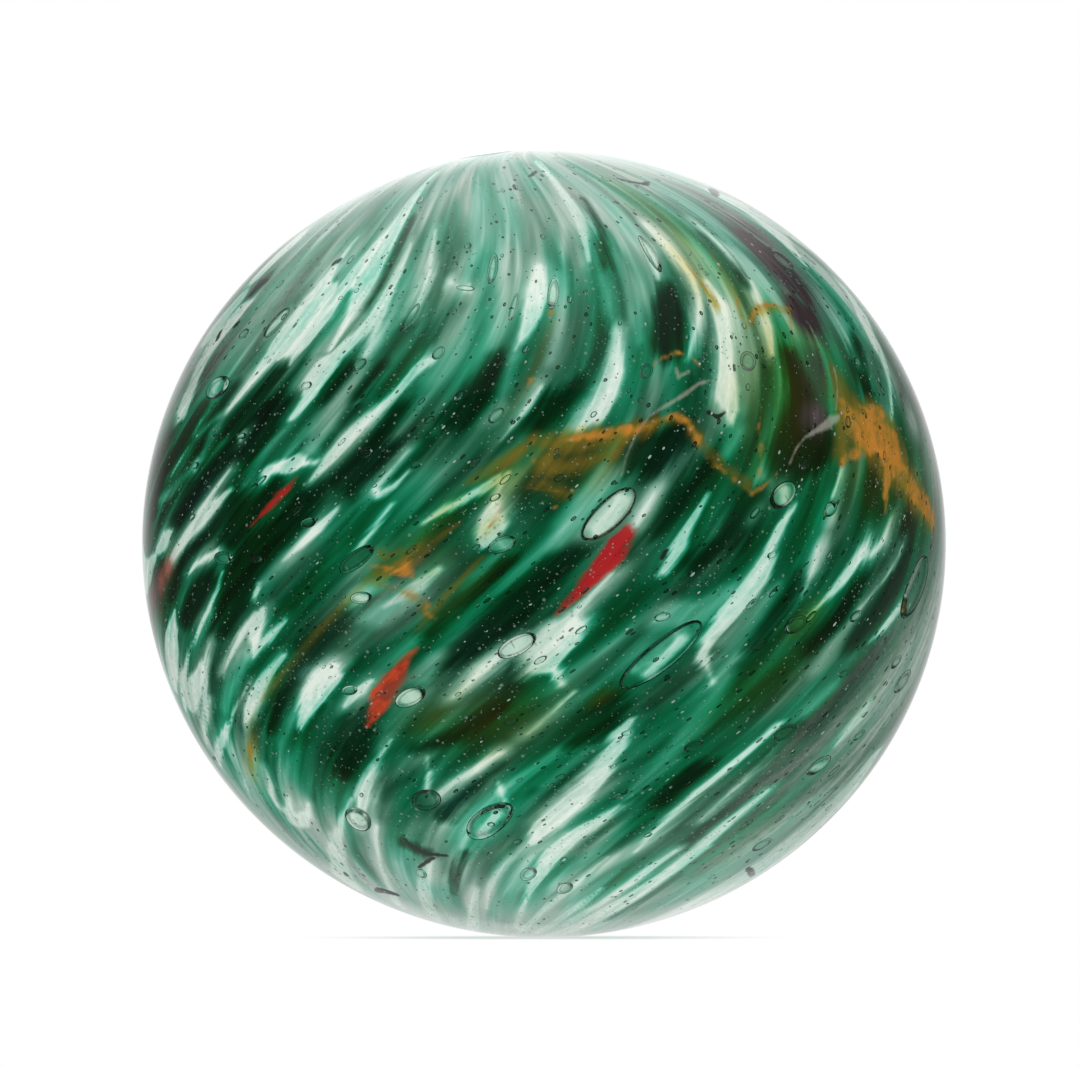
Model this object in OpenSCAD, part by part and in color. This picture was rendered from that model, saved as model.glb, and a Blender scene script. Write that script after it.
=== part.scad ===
// Large handmade glass marble: one solid ball, a little flattened along Z.
// Millimetres. The origin is midway between the poles, +Z is up, and the ball rests on its lower pole.
// The small flat near the top is the pontil, where the hot ball was parted from its rod.

/* [Ball] */

// Width across the belly
ball_w = 38; // [30:0.5:46]
// Height from the lower pole to the upper pole
ball_h = 37.25; // [30:0.25:46]

/* [Pontil] */

// Width of the flat
pontil_w = 2.8; // [0.8:0.1:8]
// Angle between the upper pole and the middle of the flat
pontil_lean = 8.5; // [0:0.5:25]
// Direction in which the flat leans, as an angle round Z from -X towards -Y
pontil_turn = 12; // [0:1:359]

/* [Colour] */

// Colour of the glass, as red, green and blue
glass_colour = [0.30, 0.55, 0.42]; // [0:0.01:1]

/* [Hidden] */

$fn = 240;

// The outline is a four-centre oval: a belly arc and two cap arcs. The arcs' centres and the origin
// make a right triangle with sides 3, 4 and 5, so each belly arc meets its cap with one tangent.
half_w = ball_w / 2;
half_h = ball_h / 2;
triangle_unit = (half_w - half_h) / 2;
belly_r = half_w - 4 * triangle_unit;
cap_r = half_h + 3 * triangle_unit;
cap_centre = half_h - cap_r;
meet = [half_w - belly_r, 0] + belly_r * [4, 3] / 5;

// Distance of the flat from the cap's centre: where the cap is as wide as the flat
pontil_depth = sqrt(cap_r * cap_r - pontil_w * pontil_w / 4);

// Well outside the ball, on the line through where the arcs meet and on the axis
meet_beyond = 4 * meet;
beyond = 2 * (ball_w + ball_h);

// Round the belly, between the two lines from the origin to where the arcs meet
module belly_sector() {
    intersection() {
        translate([half_w - belly_r, 0]) circle(r = belly_r);
        polygon([[0, 0], [meet_beyond.x, -meet_beyond.y], meet_beyond]);
    }
}

// Over the upper pole, from the axis to where the arcs meet
module cap_sector() {
    intersection() {
        translate([0, cap_centre]) circle(r = cap_r);
        polygon([[0, 0], meet_beyond, [0, beyond]]);
    }
}

// Half of the ball's outline, to the right of the axis
module outline() {
    belly_sector();
    cap_sector();
    mirror([0, 1]) cap_sector();
}

// What the pontil's flat takes off the cap
module pontil_cut() {
    translate([0, 0, cap_centre])
        rotate([0, -pontil_lean, pontil_turn])
            translate([-ball_w / 2, -ball_w / 2, pontil_depth]) cube(ball_w);
}

module marble() {
    color(glass_colour) difference() {
        rotate_extrude() outline();
        pontil_cut();
    }
}

marble();
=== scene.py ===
"""Looks of a large handmade glass marble: clear glass over a green and white swirl, full of bubbles.

The swirl has its own coordinates. Its streaks run from one end of the swirl, at the back of the underside,
to the other, behind the top of the ball. u counts degrees across the streaks and v degrees along them, so a
flame of colour is nearly straight and upright in u and v. Placed colours are chains of (u, v, half width).
"""
import bpy
import numpy as np
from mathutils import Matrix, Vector


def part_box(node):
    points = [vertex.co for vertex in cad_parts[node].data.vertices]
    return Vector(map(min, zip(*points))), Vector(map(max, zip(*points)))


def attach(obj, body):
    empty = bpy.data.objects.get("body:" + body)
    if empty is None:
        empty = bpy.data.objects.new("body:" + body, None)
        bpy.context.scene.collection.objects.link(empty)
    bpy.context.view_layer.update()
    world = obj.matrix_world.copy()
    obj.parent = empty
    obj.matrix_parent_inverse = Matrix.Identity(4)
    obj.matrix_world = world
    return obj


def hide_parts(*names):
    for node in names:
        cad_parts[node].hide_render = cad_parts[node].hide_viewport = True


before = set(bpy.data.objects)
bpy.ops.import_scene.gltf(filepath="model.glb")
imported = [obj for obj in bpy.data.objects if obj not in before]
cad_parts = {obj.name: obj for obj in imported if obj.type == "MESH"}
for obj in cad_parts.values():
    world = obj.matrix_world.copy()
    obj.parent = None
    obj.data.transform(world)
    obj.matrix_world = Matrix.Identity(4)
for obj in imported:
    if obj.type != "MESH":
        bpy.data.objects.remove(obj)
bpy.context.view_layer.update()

low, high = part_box("marble")
HALF_SIZE = np.array((high - low) / 2)
CENTRE = np.array((high + low) / 2)

# ---------------------------------------------------------------- the swirl's coordinates

CORE_SHARE = 0.94  # where the colour starts under the clear glass, as a share of the ball
SWIRL_TOP = (162, 82)  # azimuth from -Y towards +X and elevation of the swirl's two ends, in degrees
SWIRL_BOTTOM = (-135, -60.5)
TWIST = (0.71, 0.10, -0.54)  # how the streaks turn along v, in radians: factors of v, its square and its cube


def direction(azimuth, elevation):
    a, e = np.radians(azimuth), np.radians(elevation)
    return np.stack([np.sin(a) * np.cos(e), -np.cos(a) * np.cos(e), np.sin(e)], -1)


def on_plane(p):
    """Stereographic image of unit vectors, from the point at the back of the ball."""
    return (p[..., 0] + 1j * p[..., 2]) / (1 - p[..., 1] + 1e-12)


END_TOP, END_BOTTOM = on_plane(direction(*SWIRL_TOP)), on_plane(direction(*SWIRL_BOTTOM))


def twist(v):
    return TWIST[0] * v + TWIST[1] * v ** 2 + TWIST[2] * v ** 3


def swirl_uv(p):
    """u and v, in degrees, of unit vectors from the ball's centre."""
    z = on_plane(p)
    w = np.log(z - END_BOTTOM) - np.log(END_TOP - z)
    v = 2 * np.arctan(np.tanh(w.real / 2))
    u = np.degrees(w.imag + twist(v))
    return (u + 180) % 360 - 180, np.degrees(v)


def swirl_point(u, v):
    """Unit vectors at u and v, in degrees."""
    u, v = np.radians(u), np.radians(v)
    w = np.arctanh(np.clip(np.sin(v), -1 + 1e-9, 1 - 1e-9)) + 1j * (u - twist(v))
    e = np.exp(w)
    z = (END_TOP * e + END_BOTTOM) / (1 + e)
    s = np.abs(z) ** 2
    y = (s - 1) / (s + 1)
    return np.stack([z.real * (1 - y), y, z.imag * (1 - y)], -1)


# ---------------------------------------------------------------- placed colours

WHITE = [
    [(-16.5, 56, 0.8), (-17.5, 52, 1.2), (-18.3, 48, 1), (-18, 45, 0.8), (-16.8, 42, 0.8), (-15.3, 38.5, 0.5),
     (-14.4, 36, 0.3)],
    [(-20.5, 47, 0.8), (-21, 44, 1.8), (-20.5, 40, 1.5), (-20.3, 36, 1.4), (-20.6, 33, 1.7), (-21.8, 31, 1),
     (-22.2, 29.6, 0.4)],
    [(-4.7, 38.5, 0.3), (-5, 36, 0.8), (-5.5, 33.5, 1.5), (-5.3, 31, 1.8), (-5, 28.5, 1.7),
     (-4.3, 26.5, 0.8)],
    [(-23.2, 21.2, 0.25), (-23.3, 18, 0.6), (-24, 15, 1.1), (-24.6, 12.4, 0.8)],
    [(-34.8, 21.3, 0.5), (-34.2, 19, 0.9), (-34.8, 16, 0.9), (-35.6, 13, 1.6), (-35.5, 9.5, 1.7),
     (-35.8, 6, 1.2), (-36.8, 4.2, 1), (-38.7, 2.9, 0.7), (-41.5, 1, 0.3)],
    [(-48.6, 19, 0.5), (-48.6, 17, 1.3), (-47.4, 14, 1.1), (-46.3, 11.5, 0.5), (-45.6, 9.8, 0.2)],
    [(-52, 21, 0.3), (-51.6, 18.5, 0.9), (-50.3, 17, 0.8)],
    [(-41, 17, 0.25), (-42, 14.5, 0.4), (-42.8, 12, 0.25)],
    [(-19.5, 11, 0.7), (-19.7, 8, 0.6), (-20, 6, 0.9), (-20.8, 3.8, 2.2), (-21.4, 2, 2.5), (-22.6, 0, 1.8),
     (-25, -1.4, 0.8), (-26.5, -2.4, 0.4)],
    [(-17.4, 0.5, 0.6), (-17.5, -2.5, 0.9), (-17.8, -5.5, 0.5), (-17.8, -7.3, 0.2)],
    [(-28.5, -3, 0.4), (-28.9, -6, 0.4), (-29.1, -9.5, 0.25)],
    [(-28.5, -13.2, 0.6), (-28, -16.5, 0.9), (-27.2, -19.5, 0.8), (-26.8, -22.5, 0.7)],
    [(-37.3, -5, 0.3), (-38, -6.8, 0.9), (-39.6, -9.3, 1.1), (-40.8, -12, 1.4), (-41.7, -15, 1.7),
     (-42.2, -18, 2), (-42.4, -22, 2.1), (-43, -26, 1)],
    [(-47.8, -17, 0.4), (-47.6, -20, 0.9), (-46.8, -23.5, 1.6), (-47, -27, 2), (-48, -32, 1.5),
     (-48.8, -38, 0.9), (-49.3, -45, 0.8), (-49.6, -52, 0.8)],
    [(-2.2, -8.2, 1.2), (-2.3, -10.5, 2.5), (-2.6, -13.5, 2.3), (-3, -16.5, 1.4), (-3.4, -19.8, 0.5)],
    [(-1, -13, 0.9), (-1.2, -17.3, 0.4)],
    [(-7.6, -8.6, 0.5), (-7.4, -10.5, 1), (-7.2, -13.2, 0.4)],
    [(-16, -16, 0.3), (-16.4, -20, 0.5), (-16.6, -24, 1), (-17, -28, 1.6), (-17.5, -31, 1)],
    [(-15.3, -29, 0.5), (-14.6, -32, 0.7), (-13, -37.5, 1), (-8.8, -45, 2), (-5, -50.5, 2.3), (0, -55.5, 2.8),
     (6, -60, 3)],
    [(-21.7, -16.8, 0.35), (-23.5, -19.3, 0.7), (-24.8, -22, 0.5)],
    [(5.6, -9.5, 0.6), (6, -13, 0.9), (6.6, -17.5, 1.5), (6.9, -21, 1.3), (7.2, -23.5, 0.4)],
    [(-20.5, -33, 0.5), (-20.3, -40, 0.6), (-19.5, -46, 0.8), (-18, -51, 1), (-15, -56, 1.5),
     (-12, -60, 1.5)],
    [(-31, -36, 0.4), (-30, -41, 1.2), (-28.5, -46, 1.6), (-27, -51, 1.9), (-25, -57, 2), (-22, -62, 1.8)],
    [(-39.5, -41, 0.4), (-39.2, -46, 1), (-38.5, -51, 1.6), (-37, -57, 2), (-34, -63, 2)],
    [(-42, -30, 0.4), (-42, -38, 0.5), (-42, -46, 0.4)],
    [(-6.8, -34.5, 0.5), (-5.8, -37.5, 1.1), (-3.5, -39.8, 1.6), (-0.5, -41.5, 1.8), (1.5, -42.5, 1)],
    [(-2.2, -35, 0.4), (-1.2, -38, 1), (0.5, -40.5, 1.6)],
    [(2.5, -31.5, 0.3), (2.3, -34.5, 1), (3.2, -37.5, 1), (3, -40, 0.8)],
    [(8, 46.5, 1.4), (8.1, 43, 2.1), (8.2, 40, 1.8), (8.4, 37, 1), (8.6, 34.8, 0.3)],
    [(5.2, 45, 0.6), (5.6, 42, 0.8)],
    [(3, 30.5, 0.3), (3.2, 28, 0.5), (3.5, 25.5, 0.45), (3.6, 23.5, 0.2)],
    [(19.2, 32, 0.8), (20.3, 30.5, 0.9), (20.9, 27, 0.9), (21.5, 24, 1.3), (22, 20.5, 1.4), (22.1, 17.5, 1.1),
     (22.2, 14.5, 0.3)],
    [(33, 49, 0.4), (32.6, 44, 1), (32.2, 40, 1.3), (31.9, 37, 1.6), (33, 33.5, 1.3), (34, 31, 1.6),
     (34.6, 29, 2.3), (34.5, 27, 2.1), (33.1, 24.8, 1.2), (33, 21.5, 0.8)],
    [(30.8, 36, 0.7), (30, 33.5, 0.5), (29.6, 31.5, 0.2)],
    [(37.8, 50, 1), (38, 46, 1.6), (38.3, 43, 2.2), (37.6, 40, 1.8), (37, 37, 1.2), (36.3, 34, 0.9),
     (35.8, 31.5, 0.9)],
    [(38.6, 67, 0.9), (38.8, 60, 1.5), (38.9, 54, 1.9), (39.4, 50, 2.4), (40.2, 46, 3), (40.8, 43, 2.8),
     (42.5, 40, 1.5)],
    [(48, 43.5, 1), (47.5, 41, 2), (46, 38, 3.8), (45.5, 34.5, 4.3), (45.3, 32, 4), (46.3, 29.5, 2.1),
     (46.4, 26, 1.5), (46.7, 22.5, 1), (47, 20.3, 0.5)],
    [(42, 40, 1.5), (42, 36, 2), (42, 32, 1.7), (41.8, 29.5, 0.8), (41.3, 28.4, 0.3)],
    [(23.8, 16.6, 0.6), (25.8, 15.9, 1.3), (28, 15.3, 1.5), (29.6, 14, 1.1), (28.7, 12.3, 0.4)],
    [(11, 18, 0.4), (11.2, 16, 0.6), (12, 14.6, 0.8), (13.2, 15.2, 0.7), (13.2, 18, 0.4), (13.2, 20.5, 0.3)],
    [(9.5, 13.8, 0.4), (8.9, 11, 0.65), (8.4, 8.5, 0.7), (8.1, 5.5, 0.3)],
    [(15.3, 11.5, 0.4), (15.5, 8.5, 1.2), (15.7, 6, 0.9), (16, 3.5, 0.3)],
    [(17, -0.8, 0.3), (16.3, -2, 0.6), (15.3, -3.6, 0.4)],
    [(33.6, 10, 0.6), (34.5, 7.5, 1.4), (35.5, 4.5, 2), (36.7, 1, 1.5), (37.7, -2.8, 1.2)],
    [(36.8, 12.5, 0.3), (37, 9, 0.8), (36.8, 5.5, 1.2)],
    [(28, 1, 0.8), (29.3, -0.3, 1.1), (30.8, -2.4, 0.9), (31.7, -4.3, 0.4)],
    [(24.3, -1.3, 0.3), (23.2, -4, 0.5), (22.7, -8, 0.7), (23.2, -12, 0.6), (24.2, -16, 0.7), (25.2, -20, 1),
     (27, -24, 1.6), (30, -30, 1)],
    [(8.9, -4.5, 0.4), (9.5, -8, 0.9), (9.9, -11.5, 0.5)],
    [(13.4, -4.2, 0.6), (12.8, -6.5, 1.5), (11.2, -9, 1.2), (10.2, -11, 0.6)],
    [(14.2, -5, 0.6), (14.2, -9, 1), (14.1, -13, 0.7), (14.4, -16.5, 0.3)],
    [(42, 0.8, 0.8), (43, -1.3, 2.2), (44.3, -3.2, 1.3)],
    [(31.7, -11.3, 0.8), (31.4, -14.5, 2.2), (31.8, -18, 3.7), (32.5, -22, 3.8), (34, -26, 2.5)],
    [(19.5, -13, 0.4), (19.6, -16, 0.9), (20.2, -19.5, 2), (21.8, -22.5, 2.6), (24, -25.5, 2.8),
     (26, -28, 1.6)],
    [(18.5, -20, 0.6), (19, -25, 0.7), (21, -30, 0.7), (24, -35, 0.6)],
    [(10.5, -24, 0.4), (12, -27, 1), (15, -31, 1.2), (19, -35, 1.3), (22.5, -38.5, 1)],
    [(17, -23, 0.4), (18.5, -27, 0.6), (20.5, -31, 0.5)],
    [(11, -37, 0.3), (13.5, -40.5, 0.6), (16, -44, 0.4)],
    [(8.3, -16, 0.3), (9.5, -21, 0.5), (11, -25, 0.4)],
    [(45, -5, 1.2), (47.5, -8, 3), (50, -10, 3.5), (54, -10, 4), (60, -8, 4)],
    [(29, 52, 0.4), (28, 48, 0.5), (26.7, 44, 0.7), (26.3, 40, 0.5), (26, 38, 0.3)],
    [(48, 50, 0.3), (48, 46, 0.5)],
    [(-5, 72, 1.8), (-4, 68, 1.5), (-3.2, 64, 1.2), (-2.4, 58, 1.3), (-1.4, 53, 1), (-0.8, 49, 0.5)],
    [(-9.3, 62, -0.1), (-8.3, 59, 0.2), (-7.4, 56, 0.1)],
    [(-29.8, 58, 0.4), (-29.7, 54, 0.6), (-29.4, 50.5, 0.3)],
    [(-12.5, 55, 0.5), (-13, 52, 1.1), (-12.5, 49, 0.9), (-12, 47, 0.3)],
    [(-30, 48, 0.5), (-29, 45.5, 0.9), (-28.5, 42, 1.2), (-28, 38.5, 0.7)],
    [(-58, 46, 1), (-57.5, 43, 1.5), (-56, 39.5, 1.2), (-54, 36, 0.7), (-51.5, 32, 0.5)],
    [(-62, 49, 1.5), (-60, 46, 2), (-57, 43.5, 2.2), (-55, 41, 1.2)],
    [(-62, 62, 3.5), (-58, 59, 3), (-54.5, 56, 2), (-51.5, 52.5, 0.9)],
    [(-62, 63, 5), (-70, 60, 5)],
    [(-47.5, 60, 1.4), (-48, 57, 0.9)],
    [(-56.2, 17.8, 0.3), (-55.6, 15.5, 0.5), (-54, 13, 0.15), (-53, 11, 0.15)],
    [(-40.3, 25.8, 0.5), (-39.9, 22.8, 0.45)],
    [(-67.8, 0.5, 0.7), (-68.3, -2, 1.6), (-68.3, -5, 0.8)],
    [(-54.9, -3, 0.7), (-54.8, -8, 1), (-54.8, -13, 0.9), (-55.5, -18, 0.6), (-57, -24, 0.3)],
    [(-61.5, 11.5, 0.8), (-60, 9.5, 1), (-58.8, 7.5, 0.5)],
    [(-58, -5, 0.3), (-58.8, -10, 0.5), (-60, -17, 0.3)],
    [(-64.5, -12, 0.5), (-64.7, -17, 0.8), (-66, -22, 1.2), (-66.3, -28, 1.6), (-66, -34, 2), (-65, -42, 2.3),
     (-63, -50, 2.3), (-60, -58, 2.5)],
    [(-62.5, -23, 0.6), (-62.5, -27, 1), (-62.7, -31, 1), (-62, -38, 1), (-60.5, -46, 1.2)],
    [(-59, -33, 0.6), (-59, -39, 1), (-57.7, -46, 1.1), (-56, -53, 1.2)],
    [(-54.5, -26, 0.4), (-54.5, -33, 1), (-53.8, -39, 0.9), (-53, -46, 1), (-51.5, -53, 1.2)],
    [(-84, -8, 2), (-86.5, -16, 5), (-87.5, -26, 6.5), (-87, -38, 6), (-84, -50, 5)],
    [(-75.5, -26, 0.2), (-75.5, -37, 0.4)],
    [(66, 37, 0.8), (68, 34, 3), (69, 30, 3.5), (68, 26.5, 2.5), (65.5, 23, 2), (63, 19.5, 2.4),
     (61, 17.8, 2), (59.8, 17.5, 1)],
    [(74, 36, 3), (75, 31, 3.5)],
    [(75, 48, 3.5), (76, 42, 3)],
    [(50.8, 13.5, 0.3), (51, 11, 0.55), (51.3, 8.8, 0.3)],
    [(52.5, 18, 0.5), (52, 15.5, 0.3)],
    [(61, 58, 0.8), (61, 50, 0.8), (60.5, 44, 0.4)],
    [(-0.1, 19.8, 0.5), (-0.8, 17.3, 0.6), (-2, 15.2, 1.2), (-3.6, 13.4, 1.7), (-4.3, 12, 1)],
    [(0.6, 19, 0.7), (2, 16.8, 0.9), (3, 14.8, 0.9), (4, 12.6, 0.4)],
    [(-2.4, 7.5, 0.5), (-2, 5, 0.9), (-1.5, 3, 0.8), (-0.9, 1.6, 0.4)],
    [(18.3, 42, 0.25), (20.5, 42.6, 0.45), (22.3, 43.2, 0.2)],
    [(-34.8, -20.3, 0.5), (-33, -18.6, 0.7), (-31.5, -17.2, 0.3)],
    [(-17, 20.5, 0.25), (-17.3, 18.5, 0.5), (-17.6, 17, 0.4)],
    # The last four chains are painted glints: pale crescents and specks at the rims of bubbles.
    [(51.2, 36, 0.3), (52.2, 34.5, 0.5), (51.5, 32, 0.4)],
    [(56.5, 24.5, 0.25), (57, 23, 0.35), (55.8, 21.7, 0.25)],
    [(39.8, 18.3, 0.2), (40.2, 17.5, 0.3), (39, 16.8, 0.2)],
    [(45, 12.5, 0.2), (46.2, 12, 0.3), (44.8, 10.8, 0.3)],
]

PALE = [  # thin colour: mint rather than white
    [(-9.8, 22, 0.5), (-10.5, 19, 1.5), (-11, 16, 1.6), (-11.5, 13.5, 0.8)],
    [(-17, 20.8, 0.5), (-17.3, 18.5, 0.8), (-17.8, 16.8, 0.5)],
    [(-33, 11, 1.2), (-32, 8.5, 2), (-29, 8, 1.5)],
    [(-38.5, 12, 0.8), (-38.3, 9, 1.2), (-38, 6, 1)],
    [(-41, 20, 0.6), (-41.2, 17.5, 0.9), (-41.8, 15, 0.8)],
    [(-42.3, 2, 0.6), (-43.6, -1.5, 1.1), (-44.8, -5, 1.2), (-46, -9, 0.6), (-46.8, -14, 0.3)],
    [(-53, 10, 0.4), (-52.7, 7, 1), (-53, 4, 0.8)],
    [(-58, 2, 1), (-57.3, -1, 1.3)],
    [(2, 4, 1.3), (3.5, 2.5, 1)],
    [(-2.5, 3.5, 1.5), (-1.5, 0.5, 1.8), (0, -0.5, 1)],
    [(4.5, 46, 1), (4.2, 42, 1), (3.8, 38, 0.8), (3.3, 34, 0.5)],
    [(8.3, 33.5, 0.6), (7.3, 30, 0.7), (6.8, 28, 0.3)],
    [(12, 44, 1), (11.3, 40, 1), (12, 35, 0.5)],
    [(17, 46, 1.4), (16.5, 41, 1.6), (16.8, 37, 1.8), (17.5, 33, 2), (17.5, 30, 1.2)],
    [(-2.5, 46, 1), (-3, 42, 1), (-4, 39, 0.5)],
    [(-8, 46, 1), (-7.5, 42, 1), (-7.8, 38, 0.6)],
    [(29.5, 46, 1), (29, 41, 1.8), (28.8, 36, 1.4), (28.3, 31, 0.7), (28, 26, 1), (27, 21, 1.8),
     (26, 18.5, 1)],
    [(39, 38, 0.8), (39, 35, 1), (38.5, 31, 0.7)],
    [(43.8, 45, 1.2), (44.5, 43, 1)],
    [(11.5, -12, 1.3), (11.8, -17, 1.5), (12.3, -23, 1.2)],
    [(46.5, 17, 1.2), (45, 13, 0.5), (48, 6.5, 1.2), (51.5, 4.2, 1)],
    [(48.5, 19, 0.6), (50, 16, 0.6)],
    [(-23.7, 28.5, 0.6), (-23, 26, 0.5)],
    [(-36.6, -10, 0.3), (-36.8, -16, 0.5)],
    [(-11.8, -3, 0.8), (-12.8, -6, 1)],
    [(15.9, 4, 0.8), (16.3, 0, 0.7)],
    [(25, 1, 0.5), (27, 1.4, 0.6)],
    [(-32, 62, 1), (-30.5, 57, 1), (-29.5, 52, 0.5)],
    [(-77, -14, 2), (-77, -26, 4), (-76, -38, 4), (-73, -50, 4)],
    [(-47.5, -9, 0.5), (-47.5, -15, 0.4)],
]

DARK = [
    [(-48.5, 41, 0.8), (-46, 37.5, 1.6), (-46, 35.5, 1)],
    [(-36.5, 28.5, 2), (-34.5, 27.3, 2.2), (-33.5, 24.5, 0.8)],
    [(-31, 38, 0.8), (-32, 34, 1.8), (-32, 30, 2.6), (-31, 27, 2.4)],
    [(-13, 45.5, 0.7), (-12, 42, 1.9), (-11.5, 38, 1.7)],
    [(-16, 27, 1.8), (-14, 25, 2.8), (-12.5, 27, 1)],
    [(-13.5, 12.5, 0.8), (-13.5, 6, 1.8), (-14, 0, 1.8), (-13.6, -3, 0.7)],
    [(-8.2, 10, 0.4), (-8, 5, 0.7), (-8.2, 0, 0.4)],
    [(-1.5, 31, 1), (0, 29, 1.5), (0.5, 26.5, 1)],
    [(10, 33, 1), (9.9, 29, 2), (10.5, 25.5, 1.6)],
    [(12, 22, 0.4), (12, 17.3, 0.3)],
    [(16, 20, 1.2), (16, 15, 0.8)],
    [(19, 25, 0.8), (18.5, 20, 1.2), (19, 15, 1)],
    [(20, 14, 0.8), (20, 9, 2), (21.5, 4, 3.2), (20.5, -1, 2.6), (19, -5, 2.8), (17.8, -9, 1.8)],
    [(26.5, 12, 1), (27.5, 8, 2.6), (27, 4, 2.2)],
    [(26, -3.5, 1.4), (26.5, -7, 2.4), (27.5, -11, 1.6)],
    [(25.5, 30, 0.5), (25.8, 26, 0.5)],
    [(37, 23, 1.4), (36.5, 19, 2.2), (36, 15.5, 1.4)],
    [(39.8, 22, 0.8), (40, 14, 1.8), (41, 8, 2.8), (41.5, 3.5, 2)],
    [(31.5, 9, 1.2), (32, 4, 1.6), (34, 0, 1.2), (35, -5, 1.4), (34.5, -9, 1)],
    [(-49.7, 14, 0.5), (-50, 10, 1), (-49, 7, 0.8)],
    [(-40.3, 14, 0.5), (-41, 10, 1), (-41.5, 6, 0.6)],
    [(-57, 20, 1.6), (-57.5, 14, 1.8), (-56, 8, 1.4)],
    [(-28.5, 21, 1.6), (-29, 17, 1.6), (-27, 14, 1)],
    [(-21, 24, 1.4), (-20.5, 21, 1.4), (-20.5, 17, 0.6)],
    [(-33.5, -3, 0.8), (-34.7, -6, 1.2), (-34.5, -9, 0.7)],
    [(-29.4, -15, 0.3), (-29.6, -20, 0.8), (-29.8, -26, 0.7)],
    [(-23.5, -7, 0.3), (-22.5, -12, 1), (-20, -16, 0.6)],
    [(-12.7, -16, 0.8), (-13, -20, 1.9), (-13, -24, 1.4)],
    [(1, -13, 0.6), (1.5, -17, 1.1), (1.8, -22, 0.8)],
    [(-61.5, 6, 1), (-61, 2, 1.5), (-61, -3, 1)],
    [(-35.5, -32, -0.3), (-35.5, -38, -0.1), (-35, -44, -0.3)],
    [(-69, -28, -0.4), (-69, -34, -0.1), (-68.5, -42, -0.4)],
    [(49.5, 23, 1.4), (49.5, 19, 1), (47, 13, 0.8)],
    [(55, 19, 1.6), (54, 13, 2), (55.5, 8, 2.2), (53, 2, 2)],
    [(62.5, 28, 0.8), (63, 24, 0.8)],
    [(69.2, 40.3, 1.2), (69.5, 38.5, 1.4)],
    [(24.3, 24, 0.6), (24.3, 19.5, 0.5)],
    [(42.5, 27, 1), (42.5, 23, 1.4), (42.5, 18, 1.2)],
    [(30.6, 29, 0.8), (30.3, 25, 0.7)],
    [(-51.5, -10, 1.2), (-52, -15, 1)],
    [(-7.2, 61, -0.4), (-5.8, 56, -0.1), (-4.2, 51, 0.2), (-3.8, 48.5, 0)],
    [(-28.3, 55, 0.3), (-28.6, 51, 0.4), (-28.3, 48, 0.3)],
    [(36, 54, 0.3), (35.8, 46, 0.5), (34.8, 39, 0.7)],
    [(-26, -34.5, 0.5), (-30, -35, 0.5)],
]

AMBER = [
    [(-39.8, 33, 0.7), (-41.5, 31.3, 1.5), (-44.5, 30, 2.2), (-47.5, 30.3, 2.3), (-50.5, 28.4, 2.4),
     (-53.5, 25.6, 1.4), (-58, 23.4, 1), (-62, 22.2, 1), (-65.5, 20.5, 0.8)],
    [(-49, 32.4, 0.8), (-46, 32.8, 0.6), (-43.8, 33.1, 0.1)],
    [(-44, 27.8, 0.5), (-41.7, 27.5, 0.8), (-40.2, 26.8, 0.4)],
    [(-49.8, 26, 0.9), (-49.8, 23.5, 0.6), (-50.6, 21.5, 0)],
    [(-36, 44.7, -0.1), (-31, 45, 0.05), (-28, 44.3, 0.15), (-26, 42.6, 0.15), (-24, 40.8, 0)],
    [(-34.5, 44.3, 0), (-33, 41.5, 0.1), (-31.5, 39, -0.1)],
    [(-25.5, 49, -0.1), (-25, 46, 0), (-24.5, 43.5, 0)],
    [(-18, 51, 0), (-19.3, 47, 0.1), (-20.3, 44.5, 0)],
    [(-30.4, 24.3, -0.1), (-29.3, 22.8, -0.05), (-28.3, 22.1, 0.05), (-26, 23, -0.05), (-23.5, 24, -0.1),
     (-20.8, 25.3, 0), (-18.7, 27, 0.15), (-16.7, 28.8, 0.2), (-14.8, 29.4, 0.2), (-13.2, 28.9, 0.2),
     (-11.5, 27.6, 0.35), (-9, 26.6, 0.6), (-6, 25.9, 0.5), (-4, 25.2, 0.2), (-3, 24.8, -0.1)],
    [(-25.9, 31.8, -0.15), (-26.2, 29.5, 0), (-27.2, 26.8, 0), (-28.4, 24, -0.1)],
    [(-17, 35.3, -0.2), (-15, 36.8, -0.15), (-13, 37, -0.1), (-11, 36, -0.1), (-9.8, 34.7, -0.15)],
    [(0, 24.3, -0.2), (-1.5, 22, -0.2), (-2.8, 20.8, -0.25)],
    [(-2, 18.9, -0.15), (-5, 18.9, -0.15), (-8.5, 19.4, -0.2)],
    [(-5.6, 18, -0.25), (-8, 17.2, -0.2)],
    [(-0.6, 5.9, 0), (0.6, 6.4, 0.6), (1.6, 7.2, 0.4), (1.9, 8.4, 0)],
    [(1.2, 6.4, 0.2), (3.5, 6.2, 0.15), (4.9, 5.9, 0.05), (5.4, 4.8, 0)],
    [(-7.2, 1.7, 0), (-5.8, 2.2, 0), (-4.8, 3.5, 0.05), (-2, 3.8, -0.05), (1, 4.3, -0.1), (4, 4.2, -0.15)],
    [(5.6, 31.5, -0.1), (4.6, 31.3, 0), (4.5, 30.4, -0.1)],
    [(-2.4, 16.5, -0.15), (-3.1, 13.8, -0.1), (-3.9, 12, -0.15)],
    [(5, 42.3, -0.1), (5.2, 41, 0.15), (5.6, 40, 0)],
    [(5.4, -27, 0), (5.9, -29, 0.25), (6.2, -31, 0)],
]

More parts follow.
